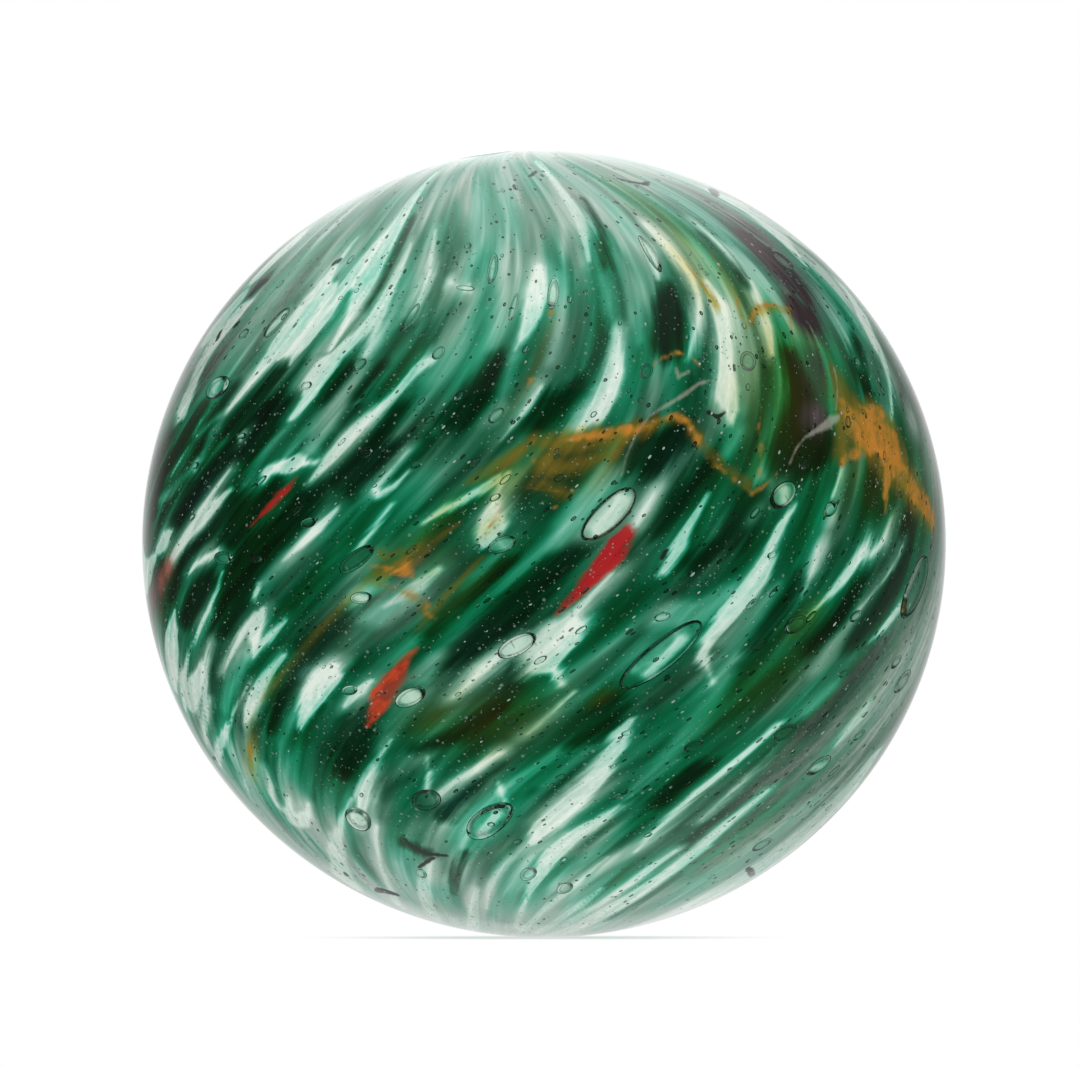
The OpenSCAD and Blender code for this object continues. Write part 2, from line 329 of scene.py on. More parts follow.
CLOUD = [  # the amber where it is a soft cloud in the glass
    [(-40, 36, 0.8), (-40.5, 33, 1.6), (-42.5, 31, 2.4), (-46, 30.5, 3), (-50, 28.6, 3.2), (-54, 25.4, 1.8),
     (-60, 23, 1.2), (-65.5, 20.8, 1)],
    [(-38.9, 37, 0.4), (-39.3, 33, 0.8), (-39.6, 28, 1)],
    [(-15, 29.3, -0.3), (-12, 27.6, 0.3), (-8.5, 25.8, 0.9), (-5, 24.8, 1.1), (-2, 24.2, 0.6),
     (0, 24.2, 0.1)],
    [(-9.5, 24.3, 0.3), (-7, 22.5, 0.8), (-4.5, 21.3, 0.5), (-2.5, 22.3, 0.5)],
    [(-4.5, 19.6, 0.1), (-8, 18.9, -0.1)],
    [(0.5, 23, 0.2), (1.8, 21, 0.3), (3, 18.5, 0)],
    [(-28.5, 22.6, -0.4), (-25, 23.8, -0.5), (-21, 25.6, -0.5), (-17.5, 28, -0.3)],
    [(5.4, -26, 0.2), (5.9, -29, 0.5), (6.5, -33, 0)],
    [(-36, 44, -0.3), (-31, 44.6, 0), (-27, 43.6, 0), (-24.5, 41.5, -0.3)],
    [(-25.5, 52, -0.3), (-25, 47, -0.1), (-24.5, 43, -0.1)],
    [(-18.5, 52, -0.2), (-19.3, 47, 0.1), (-20.3, 44, -0.1)],
    [(1.5, 9.5, 0.3), (1.5, 7.5, 0.7), (3, 5.5, 0.5)],
    [(3.6, 4, -0.6), (3.4, -3, -0.35), (3.2, -8, -0.25), (4, -14, -0.5), (5, -18, -0.8)],
    [(0.4, 13, -0.6), (1.5, 10, -0.2), (4.5, 7.5, -0.3), (6.2, 8.2, -0.7)],
    [(-6.5, 2, -0.6), (-2, 4, -0.6), (4, 4.2, -0.5)],
    [(-5.4, 10, -0.8), (-5.9, 5, -0.6), (-7, 0, -0.8)],
]

SOOT_MARKS = [  # ash and threads of black
    [(-33, -34, 0.2), (-31, -34.7, 0.3), (-29.5, -35.3, 0.35), (-27, -34.5, 0.3), (-25.3, -33.3, 0.15)],
    [(-31, -35.5, 0.2), (-30, -37, 0.3), (-28.5, -39.5, 0.15)],
    [(-19, -52.5, 0.4), (-16, -53, 0.8), (-13, -53.8, 0.8), (-9, -56, 0.3)],
    [(-4, -53, 0.45), (-1.5, -54.5, 0.25)],
    [(-90, -29, 0.2), (-86, -27.5, 0.45), (-82, -26, 0.25)],
    [(-70, 68, 0.3), (-62, 66.8, 0.6), (-56, 65.3, 0.25)],
    [(-37, 67.8, 0.15), (-33, 66.5, 0.35), (-29, 67, 0.3), (-26, 67.5, 0.3), (-28, 69.5, 0.15)],
    [(-2, 69, 0.1), (1, 67.5, 0.35), (3, 66.5, 0.2)],
    [(10, 69.6, 0.5), (10.8, 69.6, 0.4)],
    [(23, -37.5, 0.3), (26, -39, 0.2)],
    [(67.6, 40.4, 0.5), (69.5, 39.6, 1.3), (69.5, 38.2, 0.8), (71.4, 40.4, 0.4)],
    [(68.3, 29.8, 0.5), (69.8, 31, 0.5)],
    [(64.4, 32.8, 0.5), (64.9, 32.4, 0.4)],
    [(48.2, 45.2, 0.45), (49, 44.6, 0.4)],
    [(-23, 14.6, 0.25), (-23.2, 13.8, 0.2)],
    [(-18.8, 30.3, 0.12), (-20.2, 29.9, 0.16), (-21, 30.5, 0.1)],
]

# Soft stains, as (u, v, half width, half length, strength)
VEIL = [
    (-36, 40, 5, 5, 0.5), (-38, 35.5, 4, 3, 0.6), (-27.5, 38, 1.5, 4, 0.2), (-25.5, 34, 1.5, 3, 0.4),
    (-25, 47, 2.5, 4, 0.45), (-22, 57, 3, 9, 0.45), (-18.5, 49, 2, 5, 0.45), (-6, 22, 4, 2.5, 0.6),
    (-1, 20, 2.5, 3, 0.6), (2.4, 11, 1.5, 4, 0.5), (1.5, 8, 3.5, 2.5, 0.45), (3.3, -6, 0.8, 6, 0.6),
    (4, -14, 1, 3, 0.5), (-7.5, 5, 0.9, 5, 0.35), (-47.5, 2, 3.5, 5, 0.35), (-45.5, 9, 1.6, 2.2, 0.7),
    (-18.5, -11, 3, 3, 0.5), (5.2, -27, 1.2, 4, 0.7), (7.5, -34, 1.5, 3, 0.35), (-31.7, -3, 1, 1.4, 0.7),
    (-66.5, 5, 2, 6, 0.25), (-50, 26, 8, 4, 0.7), (-60, 22, 6, 2.5, 0.6), (-27.5, 27, 1.4, 4, 0.45),
    (-30, 34, 6, 8, 0.7), (-24, -9, 6, 5, 0.45), (-2, 23, 3, 2, 0.5), (-3, 14, 1.2, 2, 0.3),
    (-10, 24, 2, 2, 0.4), (-67, 25, 5, 4, 0.3), (5, 33, 0.8, 6, 0.3), (-26, 41, 3, 4, 0.2),
    (3, 14.5, 1, 3, 0.4),
]

PLUM = [
    (-41, 51, 5, 7.5, 1.5), (-38, 44, 4, 4, 1.4), (-46, 58, 4.5, 5, 1), (-50, 65, 4, 5, 0.5),
    (-36.5, 38, 3, 4, 0.75), (-35, 31.5, 2, 1.6, 0.8), (-63, 36, 4, 5, 0.5), (-70, 30, 4, 10, 0.3),
    (-68, 12, 4, 4, 0.15), (-5.5, 60, 1.2, 5, 0.4), (70, 22, 5, 3, 0.35), (58, 8, 6, 5, 0.55),
    (52, -2, 5, 3, 0.35), (41, -11, 4, 4, 0.75), (37, -22, 2.5, 4, 0.4), (62, 26, 1.5, 6, 0.35),
]

# Milky stains in the glass. Those along the left, right and lower rim of the front also hold painted
# reflection: the pale haze that the rim shows, put into the colour.
MILK_AND_HAZE = [
    (60, 36, 7, 12, 0.55), (72, 25, 8, 12, 0.6), (66, 52, 8, 8, 0.4), (55, 55, 6, 6, 0.3),
    (-73, 2, 9, 15, 0.85), (-80, -18, 9, 14, 0.9), (-60, -50, 14, 9, 0.6), (-30, -58, 25, 7, 0.5),
    (20, -52, 14, 10, 0.4), (-66, 28, 5, 6, 0.4), (-75, -35, 7, 10, 0.5), (-59.5, 32, 2.2, 2.2, 0.8),
    (-56, 37, 2.5, 3, 0.35), (-64, -6, 4, 8, 0.3), (-1.5, 3, 2.2, 4, 0.45), (14, 54, 11, 6, 0.25),
]

GLOW = [  # where the amber is brightest
    (-9, 26.6, 5, 1.8, 1), (-13.5, 28.8, 2, 1.2, 0.6), (-48, 29, 6, 4, 0.9), (1, 6.5, 3, 2, 0.7),
    (5.8, -29, 1, 2, 0.6), (-60, 23, 5, 2, 0.5), (-27, 44, 2, 2, 0.4),
]

RED = [
    [(-16.8, 16.3, 0.5), (-17.3, 15, 1.3), (-17.9, 12.5, 1.4), (-18.1, 9.5, 1), (-18.2, 7.3, 0.6),
     (-18.3, 5.6, 0.2)],
    [(24.6, 14.3, 0.1), (24.6, 12.5, 0.6), (24.8, 9.5, 0.45), (25.2, 6.5, 0)],
]

BLUSH = [  # where red glass lies deeper and shows softly
    (38.2, -4.8, 1.5, 2, 0.85), (39.5, -8, 1.8, 2.2, 0.65), (43, -12, 3.5, 3, 0.25),
]

ORANGE = [
    [(-8.7, -2.4, 0), (-8.9, -4.5, 0.5), (-9.8, -7, 1.3), (-10.3, -9.5, 1.35), (-11.3, -12, 0.9),
     (-11.9, -15, 0.2)],
]

# Air bubbles, as (u, v, half width, half length, paleness of the colour under it). The paleness is partly
# white glass and partly a painted highlight, the bright middle that a bubble shows.
BUBBLES = [
    (-14, 17.5, 2, 3.3, 1), (-32.8, 3.2, 2.2, 4.6, 0.7), (-32.5, 22.3, 1.6, 1.6, 0.5),
    (-18, 1, 1.5, 1.9, 0.8), (-13.5, -9, 1.5, 1.8, 0.9), (-25.8, -24, 2, 2, 0.4),
    (-35.3, -24.5, 2.4, 4.1, 0.6), (-17, -33, 2.5, 2.5, 0.8), (-46.3, -33, 1.2, 1.6, 0.6),
    (-6.1, 12, 1.3, 1.2, 0.5), (7.3, 6.3, 1.4, 2.2, 0.2), (2.5, 1.8, 1.3, 0.9, 0.6),
    (-40.2, 21.4, 0.9, 0.9, 0.7), (-23.7, 37, 1.2, 1.2, 0.3), (-9.3, 34.2, 0.9, 0.9, 0.3),
    (18.7, 33, 0.8, 0.9, 0.3), (26, 37.5, 0.7, 2, 0.2), (29, 30, 0.8, 0.9, 0.3), (6.2, 26.4, 0.8, 1, 0.6),
    (17.3, 9, 1, 0.8, 0.3), (15.8, 46, 0.9, 2.5, 0.6), (5.5, 43, 0.9, 2.3, 0.6), (11, 40.5, 0.6, 2, 0.5),
    (-44.5, 52.5, 1.6, 1.4, 1), (-63.8, 13.5, 2.8, 3.5, 0.4), (-74, 2.5, 1.8, 1.4, 0.5),
    (-57, -3.8, 1.3, 1.1, 0.3), (-69, -8, 1.4, 1.4, 0.7), (-53.5, -34.5, 1.2, 1.5, 0.2),
    (-42.5, 6, 0.7, 0.7, 0.2), (-44.8, 8.7, 1.3, 1.1, 0.1), (-53, 10.2, 0.8, 0.7, 0.4),
    (-28.8, 7.5, 0.8, 0.6, 0.6), (-34, 26, 0.8, 0.8, 0.4), (25.8, 0.7, 2, 1, 0.2), (20.5, 2.3, 1.3, 0.7, 0.3),
    (18.3, 19.2, 1, 0.7, 0.4), (10.8, 19, 0.6, 0.5, 0.4), (35, 26, 0.8, 0.6, 0.1), (-6.3, -10.8, 1, 0.8, 0.3),
    (-29, -41, 1, 1, 0.2), (54.5, 23, 3.1, 1.9, 0.5), (51.8, 34, 1.3, 2.6, 0.3), (-47.3, -6.8, 0.9, 0.9, 0.3),
    (-38.5, -6.7, 0.5, 0.4, 0), (-26, -8.5, 0.7, 0.6, 0.1), (-35.2, 15.8, 0.5, 0.4, 0),
    (39.5, 17.5, 0.9, 0.5, 0.8), (45.5, 11.5, 0.9, 0.6, 0.8), (-58, 3.7, 0.7, 0.5, 0.2),
    (-30, 20, 0.5, 0.7, 0.5), (-68, 5, 0.8, 0.8, 0.3), (-42, 50.5, 0.7, 0.7, 0.9), (-46, 38.6, 0.8, 0.6, 0.9),
    (19.5, 42.5, 1.6, 0.4, 0.9), (9, 63, 0.8, 0.7, 0.5), (59, 31.5, 1, 0.9, 0.4), (-12.7, 51, 1, 3, 0.5),
    (-77, -21, 1.2, 1.2, 0.3), (-72, -4, 0.9, 0.7, 0.6),
]

CLEAR_FILM_GLINTS = [  # pale rims of the clear films that lie over the dark: painted reflection, where their edges catch the light
    [(-18, 34, 0.02), (-16.5, 33.4, 0.15), (-15, 31.9, 0.2), (-13, 30.3, 0.2), (-11.6, 29, 0.06),
     (-11, 26.5, 0.02), (-11.4, 24, 0.02), (-12.2, 21.8, 0.02)],
    [(-38.8, 31.6, 0.3), (-37.3, 31, 0.6), (-35.5, 30, 0.35), (-33.3, 28.9, 0.1), (-32.2, 27.5, 0.04),
     (-31.8, 25.8, 0.02)],
    [(-39.6, 37.5, 0.02), (-39.3, 35, 0.04), (-38.5, 32.5, 0.06)],
    [(-15, 34.8, 0.1), (-13.8, 34, 0.2), (-13.2, 35, 0.1)],
]


# ---------------------------------------------------------------- fields over the swirl

BACK_TURN = 176  # a colour placed at u has its likeness on the back at BACK_TURN - u
BACK_FROM, BACK_REACH = 0.1, 80  # y where the back starts, and v where its colours end either way
SHUFFLE = 5  # how far a chain may shift there, in degrees either way
WIDENING = (0.75, 1.3)  # least and most factor for its widths
WIDEST_BEHIND = 2.2  # streaks at the front's edge are drawn wide, as they are seen aslant
NARROWEST_WHITE = 0.6  # white streaks there are no narrower, as the back's mesh is coarser
STAIN_FALL = 0.9  # how fast a stain fades outwards


def behind(chains, draw, narrowest=0.0):
    """Chains for the back of the ball: like the front ones, turned round to it and shuffled a little."""
    moved = []
    for chain in chains:
        shift_u, shift_v = draw.uniform(-SHUFFLE, SHUFFLE), draw.uniform(-SHUFFLE, SHUFFLE)
        widen = draw.uniform(*WIDENING)
        turned = [(BACK_TURN - u + shift_u, v + shift_v, w * widen) for u, v, w in chain]
        turned = [(u, v, min(max(w, narrowest / np.cos(np.radians(v))), WIDEST_BEHIND)) for u, v, w in turned]
        if all(on_back(u, v) for u, v, _ in turned):
            moved.append(turned)
    return moved


def stains_behind(stains):
    """Soft stains for the back of the ball."""
    return [(BACK_TURN - s[0], *s[1:]) for s in stains if on_back(BACK_TURN - s[0], s[1])]


def on_back(u, v):
    return abs(v) < BACK_REACH and swirl_point(u, v)[1] > BACK_FROM


def chain_field(u, v, chains, reach):
    """How many degrees each point lies inside the nearest chain. Outside it is negative, down to -reach."""
    best = np.full(u.shape, -float(reach))
    for chain in chains:
        us, vs, widths = np.array(chain).T
        spread = reach + widths.max()
        middle = (us.max() + us.min()) / 2
        du = (u - middle + 180) % 360 - 180
        near = np.flatnonzero((np.abs(du) < (us.max() - us.min()) / 2 + spread)
                              & (v > vs.min() - spread) & (v < vs.max() + spread))
        pu, pv = du[near] + middle, v[near]
        for (u0, v0, w0), (u1, v1, w1) in zip(chain, chain[1:]):
            lu, lv = u1 - u0, v1 - v0
            t = np.clip(((pu - u0) * lu + (pv - v0) * lv) / (lu * lu + lv * lv), 0, 1)
            inside = w0 + (w1 - w0) * t - np.hypot(pu - u0 - t * lu, pv - v0 - t * lv)
            best[near] = np.maximum(best[near], inside)
    return best


def stain_field(u, v, stains):
    """The strongest of some soft oval stains at each point, from 0 up to its strength."""
    best = np.zeros(u.shape)
    for u0, v0, half_u, half_v, strength in stains:
        du = ((u - u0 + 180) % 360 - 180) / half_u
        dv = (v - v0) / half_v
        np.maximum(best, strength * np.exp(-STAIN_FALL * (du * du + dv * dv)), out=best)
    return best


# ---------------------------------------------------------------- shapes

def marble_radius(directions):
    """Distance from the centre to the ball's surface: an oval of four arcs, turned about Z.

    The arcs are set out on a triangle with sides of 3, 4 and 5 units.
    """
    half_w, half_h = HALF_SIZE[0], HALF_SIZE[2]
    unit = (half_w - half_h) / 2
    belly, cap = half_w - 4 * unit, half_h + 3 * unit
    up = np.abs(directions[:, 2])
    out = np.hypot(directions[:, 0], directions[:, 1])
    on_belly = 4 * unit * out + np.sqrt(belly ** 2 - (4 * unit * up) ** 2)
    on_cap = -3 * unit * up + np.sqrt(cap ** 2 - (3 * unit * out) ** 2)
    meet_out, meet_up = 4 * unit + 0.8 * belly, 0.6 * belly
    return np.where(up * meet_out < out * meet_up, on_belly, on_cap)


def cube_sphere_side(side, steps):
    """Unit vectors on a grid over one of a cube's six sides, blown up into a sphere."""
    ticks = np.tan(np.linspace(-1, 1, steps + 1) * np.pi / 4)
    a, b = np.meshgrid(ticks, ticks, indexing="ij")
    one = np.ones_like(a)
    sides = [(one, a, b), (-one, b, a), (b, one, a), (a, -one, b), (a, b, one), (b, a, -one)]
    grid = np.stack(sides[side], -1)
    return grid / np.linalg.norm(grid, axis=-1, keepdims=True)


def sphere_part(steps, split, wanted):
    """Points and quads of the coarse cells that are wanted by their middles, each cut split by split."""
    fine = steps * split
    points, quads, count = [], [], 0
    for side in range(6):
        grid = cube_sphere_side(side, fine)
        middles = cube_sphere_side(side, 2 * steps)[1::2, 1::2]
        keep = np.kron(wanted(middles), np.ones((split, split), bool))
        i, j = np.nonzero(keep)
        first = i * (fine + 1) + j
        quads.append(count + np.stack([first, first + fine + 1, first + fine + 2, first + 1], -1))
        points.append(grid.reshape(-1, 3))
        count += (fine + 1) ** 2
    points, quads = np.concatenate(points), np.concatenate(quads)
    used, quads = np.unique(quads, return_inverse=True)
    points, quads = points[used], quads.reshape(-1, 4)
    _, where, back = np.unique(np.round(points, 6), axis=0, return_index=True, return_inverse=True)
    return points[where], back.ravel()[quads]


def ring_faces(rings, sectors):
    """Faces of a ball meshed in rings. Its two poles are the last points."""
    s = np.arange(sectors)
    t = (s + 1) % sectors
    ring = np.arange(rings - 1)[:, None] * sectors
    quads = np.stack([ring + s, ring + sectors + s, ring + sectors + t, ring + t], -1).reshape(-1, 4)
    last, pole = (rings - 1) * sectors, rings * sectors
    start_cap = [(pole, a, b) for a, b in zip(s.tolist(), t.tolist())]
    end_cap = [(pole + 1, last + b, last + a) for a, b in zip(s.tolist(), t.tolist())]
    return quads.tolist() + start_cap + end_cap


def round_blob(rings, sectors):
    """Unit sphere as points and faces, with its poles on the second axis."""
    lat = np.linspace(-np.pi / 2, np.pi / 2, rings + 1)[1:-1]
    lon = np.arange(sectors) * 2 * np.pi / sectors
    la, lo = np.meshgrid(lat, lon, indexing="ij")
    body = np.stack([np.cos(la) * np.cos(lo), np.sin(la), np.cos(la) * np.sin(lo)], -1).reshape(-1, 3)
    return np.vstack([body, (0, -1, 0), (0, 1, 0)]), ring_faces(rings - 1, sectors)


def mesh_piece(name, points, faces, material):
    mesh = bpy.data.meshes.new(name)
    mesh.from_pydata(points.tolist(), [], faces)
    mesh.polygons.foreach_set("use_smooth", np.ones(len(mesh.polygons), bool))
    mesh.materials.append(material)
    mesh.update()
    obj = bpy.data.objects.new(name, mesh)
    bpy.context.scene.collection.objects.link(obj)
    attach(obj, "root")
    return obj


def set_attribute(mesh, name, values):
    vector = values.ndim == 2
    kind, key = ("FLOAT_VECTOR", "vector") if vector else ("FLOAT", "value")
    data = mesh.attributes.new(name, kind, "POINT").data
    data.foreach_set(key, values.astype(np.float32).ravel())


# ---------------------------------------------------------------- nodes

class Nodes:
    """Short calls for the nodes of one tree."""

    def __init__(self, tree):
        self.tree = tree
        tree.nodes.clear()

    def put(self, socket, value):
        if isinstance(value, bpy.types.NodeSocket):
            self.tree.links.new(value, socket)
        elif value is not None:
            socket.default_value = value

    def new(self, kind, inputs=None, **settings):
        node = self.tree.nodes.new(kind)
        for key, value in settings.items():
            setattr(node, key, value)
        for key, value in (inputs or {}).items():
            self.put(node.inputs[key], value)
        return node

    def math(self, operation, a, b=None, c=None, clamp=False):
        node = self.new("ShaderNodeMath", {0: a, 1: b, 2: c}, operation=operation, use_clamp=clamp)
        return node.outputs[0]

    def times(self, a, b, clamp=False):
        return self.math("MULTIPLY", a, b, clamp=clamp)

    def plus(self, a, b, clamp=False):
        return self.math("ADD", a, b, clamp=clamp)

    def minus(self, a, b, clamp=False):
        return self.math("SUBTRACT", a, b, clamp=clamp)

    def scaled(self, value, by, plus):
        return self.math("MULTIPLY_ADD", value, by, plus)

    def larger(self, a, b):
        return self.math("MAXIMUM", a, b)

    def smaller(self, a, b):
        return self.math("MINIMUM", a, b)

    def sum(self, *terms, plus=0.0):
        """Values times their weights, added up."""
        total = plus
        for value, weight in terms:
            total = self.scaled(value, weight, total)
        return total

    def step(self, value, start, end):
        """0 below start, 1 above end, and smooth between."""
        ends = {"Value": value, "From Min": start, "From Max": end, "To Min": 0.0, "To Max": 1.0}
        return self.new("ShaderNodeMapRange", ends, interpolation_type="SMOOTHSTEP").outputs[0]

    def blend(self, factor, a, b):
        """From number a to number b."""
        return self.new("ShaderNodeMix", {"Factor": factor, "A": a, "B": b}, data_type="FLOAT").outputs[0]

    def mix(self, factor, a, b):
        """From colour a to colour b."""
        node = self.new("ShaderNodeMix", {"Factor": factor, "A": a, "B": b}, data_type="RGBA")
        return next(o for o in node.outputs if o.type == "RGBA")

    def scale(self, vector, by):
        return self.new("ShaderNodeVectorMath", {0: vector, 1: by}, operation="MULTIPLY").outputs[0]

    def length(self, vector):
        return self.new("ShaderNodeVectorMath", {0: vector}, operation="LENGTH").outputs["Value"]

    def noise(self, vector, by, detail=2.0, roughness=0.5, distortion=0.0):
        """A noise over the vector times another vector."""
        inputs = {"Vector": self.scale(vector, by), "Scale": 1.0, "Detail": detail,
                  "Roughness": roughness, "Distortion": distortion}
        return self.new("ShaderNodeTexNoise", inputs).outputs[0]

    def specks(self, vector, fineness):
        """Round specks strewn about, 1 in the middle of each, and each speck's own number from 0 to 1."""
        near = self.scale(vector, (fineness, fineness, fineness))
        cells = self.new("ShaderNodeTexVoronoi", {"Vector": near, "Scale": 1.0})
        split = self.new("ShaderNodeSeparateColor", {0: cells.outputs["Color"]})
        size = self.scaled(split.outputs[0], SPECK_SPREAD, SPECK_SMALLEST)
        nearness = self.minus(size, cells.outputs["Distance"])
        return self.step(nearness, *SPECK_EDGE), split.outputs[1]

    def attribute(self, name):
        return self.new("ShaderNodeAttribute", attribute_name=name)

    def field(self, name):
        return self.attribute(name).outputs["Fac"]

    def object_place(self):
        return self.new("ShaderNodeTexCoord").outputs["Object"]

    def surface(self, shader, kind="Material"):
        self.new("ShaderNodeOutput" + kind, {"Surface": shader.outputs[0]})


def new_material(name, kind=Nodes):
    material = bpy.data.materials.new(name)
    material.use_nodes = True
    return material, kind(material.node_tree)


# ---------------------------------------------------------------- the swirl's glass

WHITE_GLASS = (0.82, 0.91, 0.82)
GREEN_DEPTH = (2.28, 1.0, 1.32)  # how fast red, green and blue die out as the green glass gets thicker
AMBER_DEPTH = (0.12, 0.50, 2.0)  # the same for the amber
HUE_IN_RED, HUE_IN_BLUE = 6.0, 0.7  # how far the hue noise shifts the ends of GREEN_DEPTH
LEAST_HUE = -0.10  # the hue noise shifts red no farther down than at this level
THINNEST, THIN_SHARE = 0.35, 0.6  # plain green is about this thick at least, or this share of its base
DARK_COVER, PALE_COVER, CLEAR_COVER = 0.85, 0.8, 0.95
DEEPEST_FRINGE = -0.72  # the most that the green thins beside white
GREY_ENDS = 0.35  # grey in the thin colour at the swirl's ends
GREY_UNDER = 1.35  # how thin the colour is where the grey starts
CLEAR_OF_GREY = 0.9  # how much of the grey the white streaks go without
CLOUD_SMOKE, VEIL_SMOKE = 0.24, 0.12
AMBER_BODY = (0.25, 0.165, 0.022, 1)
AMBER_BRIGHT = (0.57, 0.215, 0.028, 1)
AMBER_OLIVE = (0.23, 0.17, 0.026, 1)
SALMON = (0.42, 0.12, 0.095, 1)
# FILM_GLINT: painted reflection along the rims of the clear films
FILM_GLINT = (0.50, 0.52, 0.42, 1)
SOOT = (0.012, 0.018, 0.014, 1)
FILM_COVER, RED_COVER, SOOT_COVER = 0.42, 0.96, 0.97
# Specks of tiny bubbles, painted into the colour: SPECK_GLINT is a painted glint over the dark glass,
# SPECK_SHADE is painted shade over the clear.
SPECK_GLINT = (0.27, 0.37, 0.31, 1)
SPECK_SHADE = (0.045, 0.075, 0.055, 1)
SPECKS = ((3100, 0.38), (6000, 0.42))  # fineness and strength of each strewing
SPECK_SMALLEST, SPECK_SPREAD = 0.08, 0.20  # radius of the smallest, and how much larger others get
SPECK_EDGE = (-0.02, 0.07)
DARK_SPECKS = 0.72  # this share of the specks is a pale painted glint over dark glass
RESHUFFLE = 7.0  # makes another number of a speck's own
GATHERED = (0.44, {"broad": 2.4, "flame": 1.2})  # the share of the places that has specks
SWIRL_ROUGHNESS = 0.6

NOISES = {  # how many to a radian, across and along the streaks; then detail, roughness and distortion
    "broad": ((8, 8, 2.4), 1, 0.5, 0.3),
    "flame": ((19, 19, 3.6), 1.5, 0.5, 0.35),
    "line": ((48, 48, 4.5), 2, 0.5, 0.0),
    "mottle": ((70, 70, 45), 2, 0.6, 0.0),
    "hue": ((9, 9, 3.5), 1, 0.5, 0.0),
    "wisp": ((30, 30, 24), 2.5, 0.55, 0.9),
}
RAGGED = {"line": 2.2, "mottle": 0.5}

# Thickness of the green glass: a constant and the weights of the noises
SWING = (0.0, {"broad": 3.4, "flame": 4.2, "line": 1.3})
DARK_GLASS = (4.3, {"flame": 3.0, "line": 1.5})
PALE_GLASS = (0.85, {"flame": 1.2, "line": 1.4})
CLEAR_GLASS = (0.09, {"line": 0.6, "flame": 0.5, "mottle": 0.4})
FRINGE = (-0.30, {"broad": -2.4, "hue": 1.2})
LEAST_LINE = 0.5  # how much the fine lines vary the least thickness

EDGES = {  # the chains, how far inside them a colour starts and is full, and the noises that fray it
    "fringe": ("white", -2.2, 0.2, {"ragged": 1.2}),
    "clear": ("white", -0.38, 0.68, {"ragged": 1.0}),
    "dark": ("dark", -1.7, 1.0, {"ragged": 1.2}),
    "pale": ("pale", -1.3, 0.9, {"ragged": 1.0}),
    "cloud": ("cloud", -1.5, 0.9, {"ragged": 0.9}),
    "film_glint": ("film_glint", -0.3, 0.25, {"mottle": 0.5}),
    "amber": ("amber", -0.45, 0.50, {"wisp": 1.5, "line": 0.4, "mottle": 0.3}),
    "red": ("red", -0.5, 0.5, {"ragged": 0.45, "wisp": 0.9}),
    "orange": ("orange", -0.5, 0.5, {"ragged": 0.45, "wisp": 0.9}),
    "soot": ("soot", -0.25, 0.05, {"mottle": 0.6}),
}

STREAKS = {  # how dense a soft colour is: a constant and the weights of the noises
    "veil": (0.85, {"line": 1.6}),
    "body": (0.27, {"line": 1.08}),
    "milk_and_haze": (0.9, {"line": 1.6, "mottle": 1.0}),
    "plum": (1.0, {"line": 1.5, "flame": 1.0}),
    "glow": (0.80, {"wisp": 2.0, "line": 0.8}),
    "amber": (0.88, {"wisp": 1.5, "line": 0.5}),
    "orange": (0.90, {"line": 0.8, "wisp": 0.5}),
    "blush": (0.9, {"line": 1.2, "mottle": 0.8}),
}

TONES = {  # two colours, the noise level where each is pure, and the noises that share them out
    "milk_and_haze": ((0.17, 0.31, 0.245, 1), (0.46, 0.60, 0.52, 1), -0.2, 0.2, {"flame": 1.0}),
    "plum": ((0.036, 0.025, 0.029, 1), (0.095, 0.072, 0.076, 1), -0.1, 0.3, {"flame": 1.0, "line": 0.7}),
    "amber": (AMBER_OLIVE, (0.37, 0.19, 0.025, 1), -0.15, 0.12, {"wisp": 1.0}),
    "red": ((0.30, 0.008, 0.014, 1), (0.44, 0.016, 0.020, 1), -0.2, 0.1, {"line": 1.0, "flame": 1.0}),
    "orange": ((0.33, 0.030, 0.014, 1), (0.54, 0.060, 0.022, 1), -0.2, 0.15, {"line": 1.0, "wisp": 1.0}),
}


class SwirlGlass(Nodes):
    """Nodes that know the swirl's noises and the colours placed on it."""

    def __init__(self, tree):
        super().__init__(tree)
        streak = self.attribute("streak").outputs["Vector"]
        self.noises = {name: self.minus(self.noise(streak, *shape), 0.5) for name, shape in NOISES.items()}
        self.noises["ragged"] = self.woven(0.0, RAGGED)

    def woven(self, constant, weights):
        return self.sum(*((self.noises[name], weight) for name, weight in weights.items()), plus=constant)

    def edge(self, name):
        """1 inside the chains, 0 outside, with a frayed edge."""
        chains, start, end, weights = EDGES[name]
        return self.step(self.woven(self.field(chains), weights), start, end)

    def streaked(self, name, cover):
        return self.times(cover, self.woven(*STREAKS[name]), clamp=True)

    def stain(self, name):
        return self.streaked(name, self.field(name))

    def tone(self, name):
        first, second, start, end, weights = TONES[name]
        return self.mix(self.step(self.woven(0.0, weights), start, end), first, second)


def green_thickness(n, clear):
    """How thick the green is, and how thick it is on the whole there."""
    base = n.field("thick")
    thick = n.scaled(n.woven(*SWING), n.field("swing"), base)
    thinnest = n.smaller(n.times(base, THIN_SHARE), THINNEST)
    thick = n.larger(thick, n.scaled(n.noises["line"], LEAST_LINE, thinnest))
    thick = n.blend(n.times(n.edge("dark"), DARK_COVER), thick, n.woven(*DARK_GLASS))
    thick = n.blend(n.times(n.edge("pale"), PALE_COVER), thick, n.woven(*PALE_GLASS))
    thinned = n.smaller(n.larger(n.woven(*FRINGE), DEEPEST_FRINGE), 0.0)
    thick = n.times(thick, n.scaled(n.edge("fringe"), thinned, 1.0))
    thick = n.blend(n.times(clear, CLEAR_COVER), thick, n.woven(*CLEAR_GLASS))
    return n.larger(thick, 0.0), base


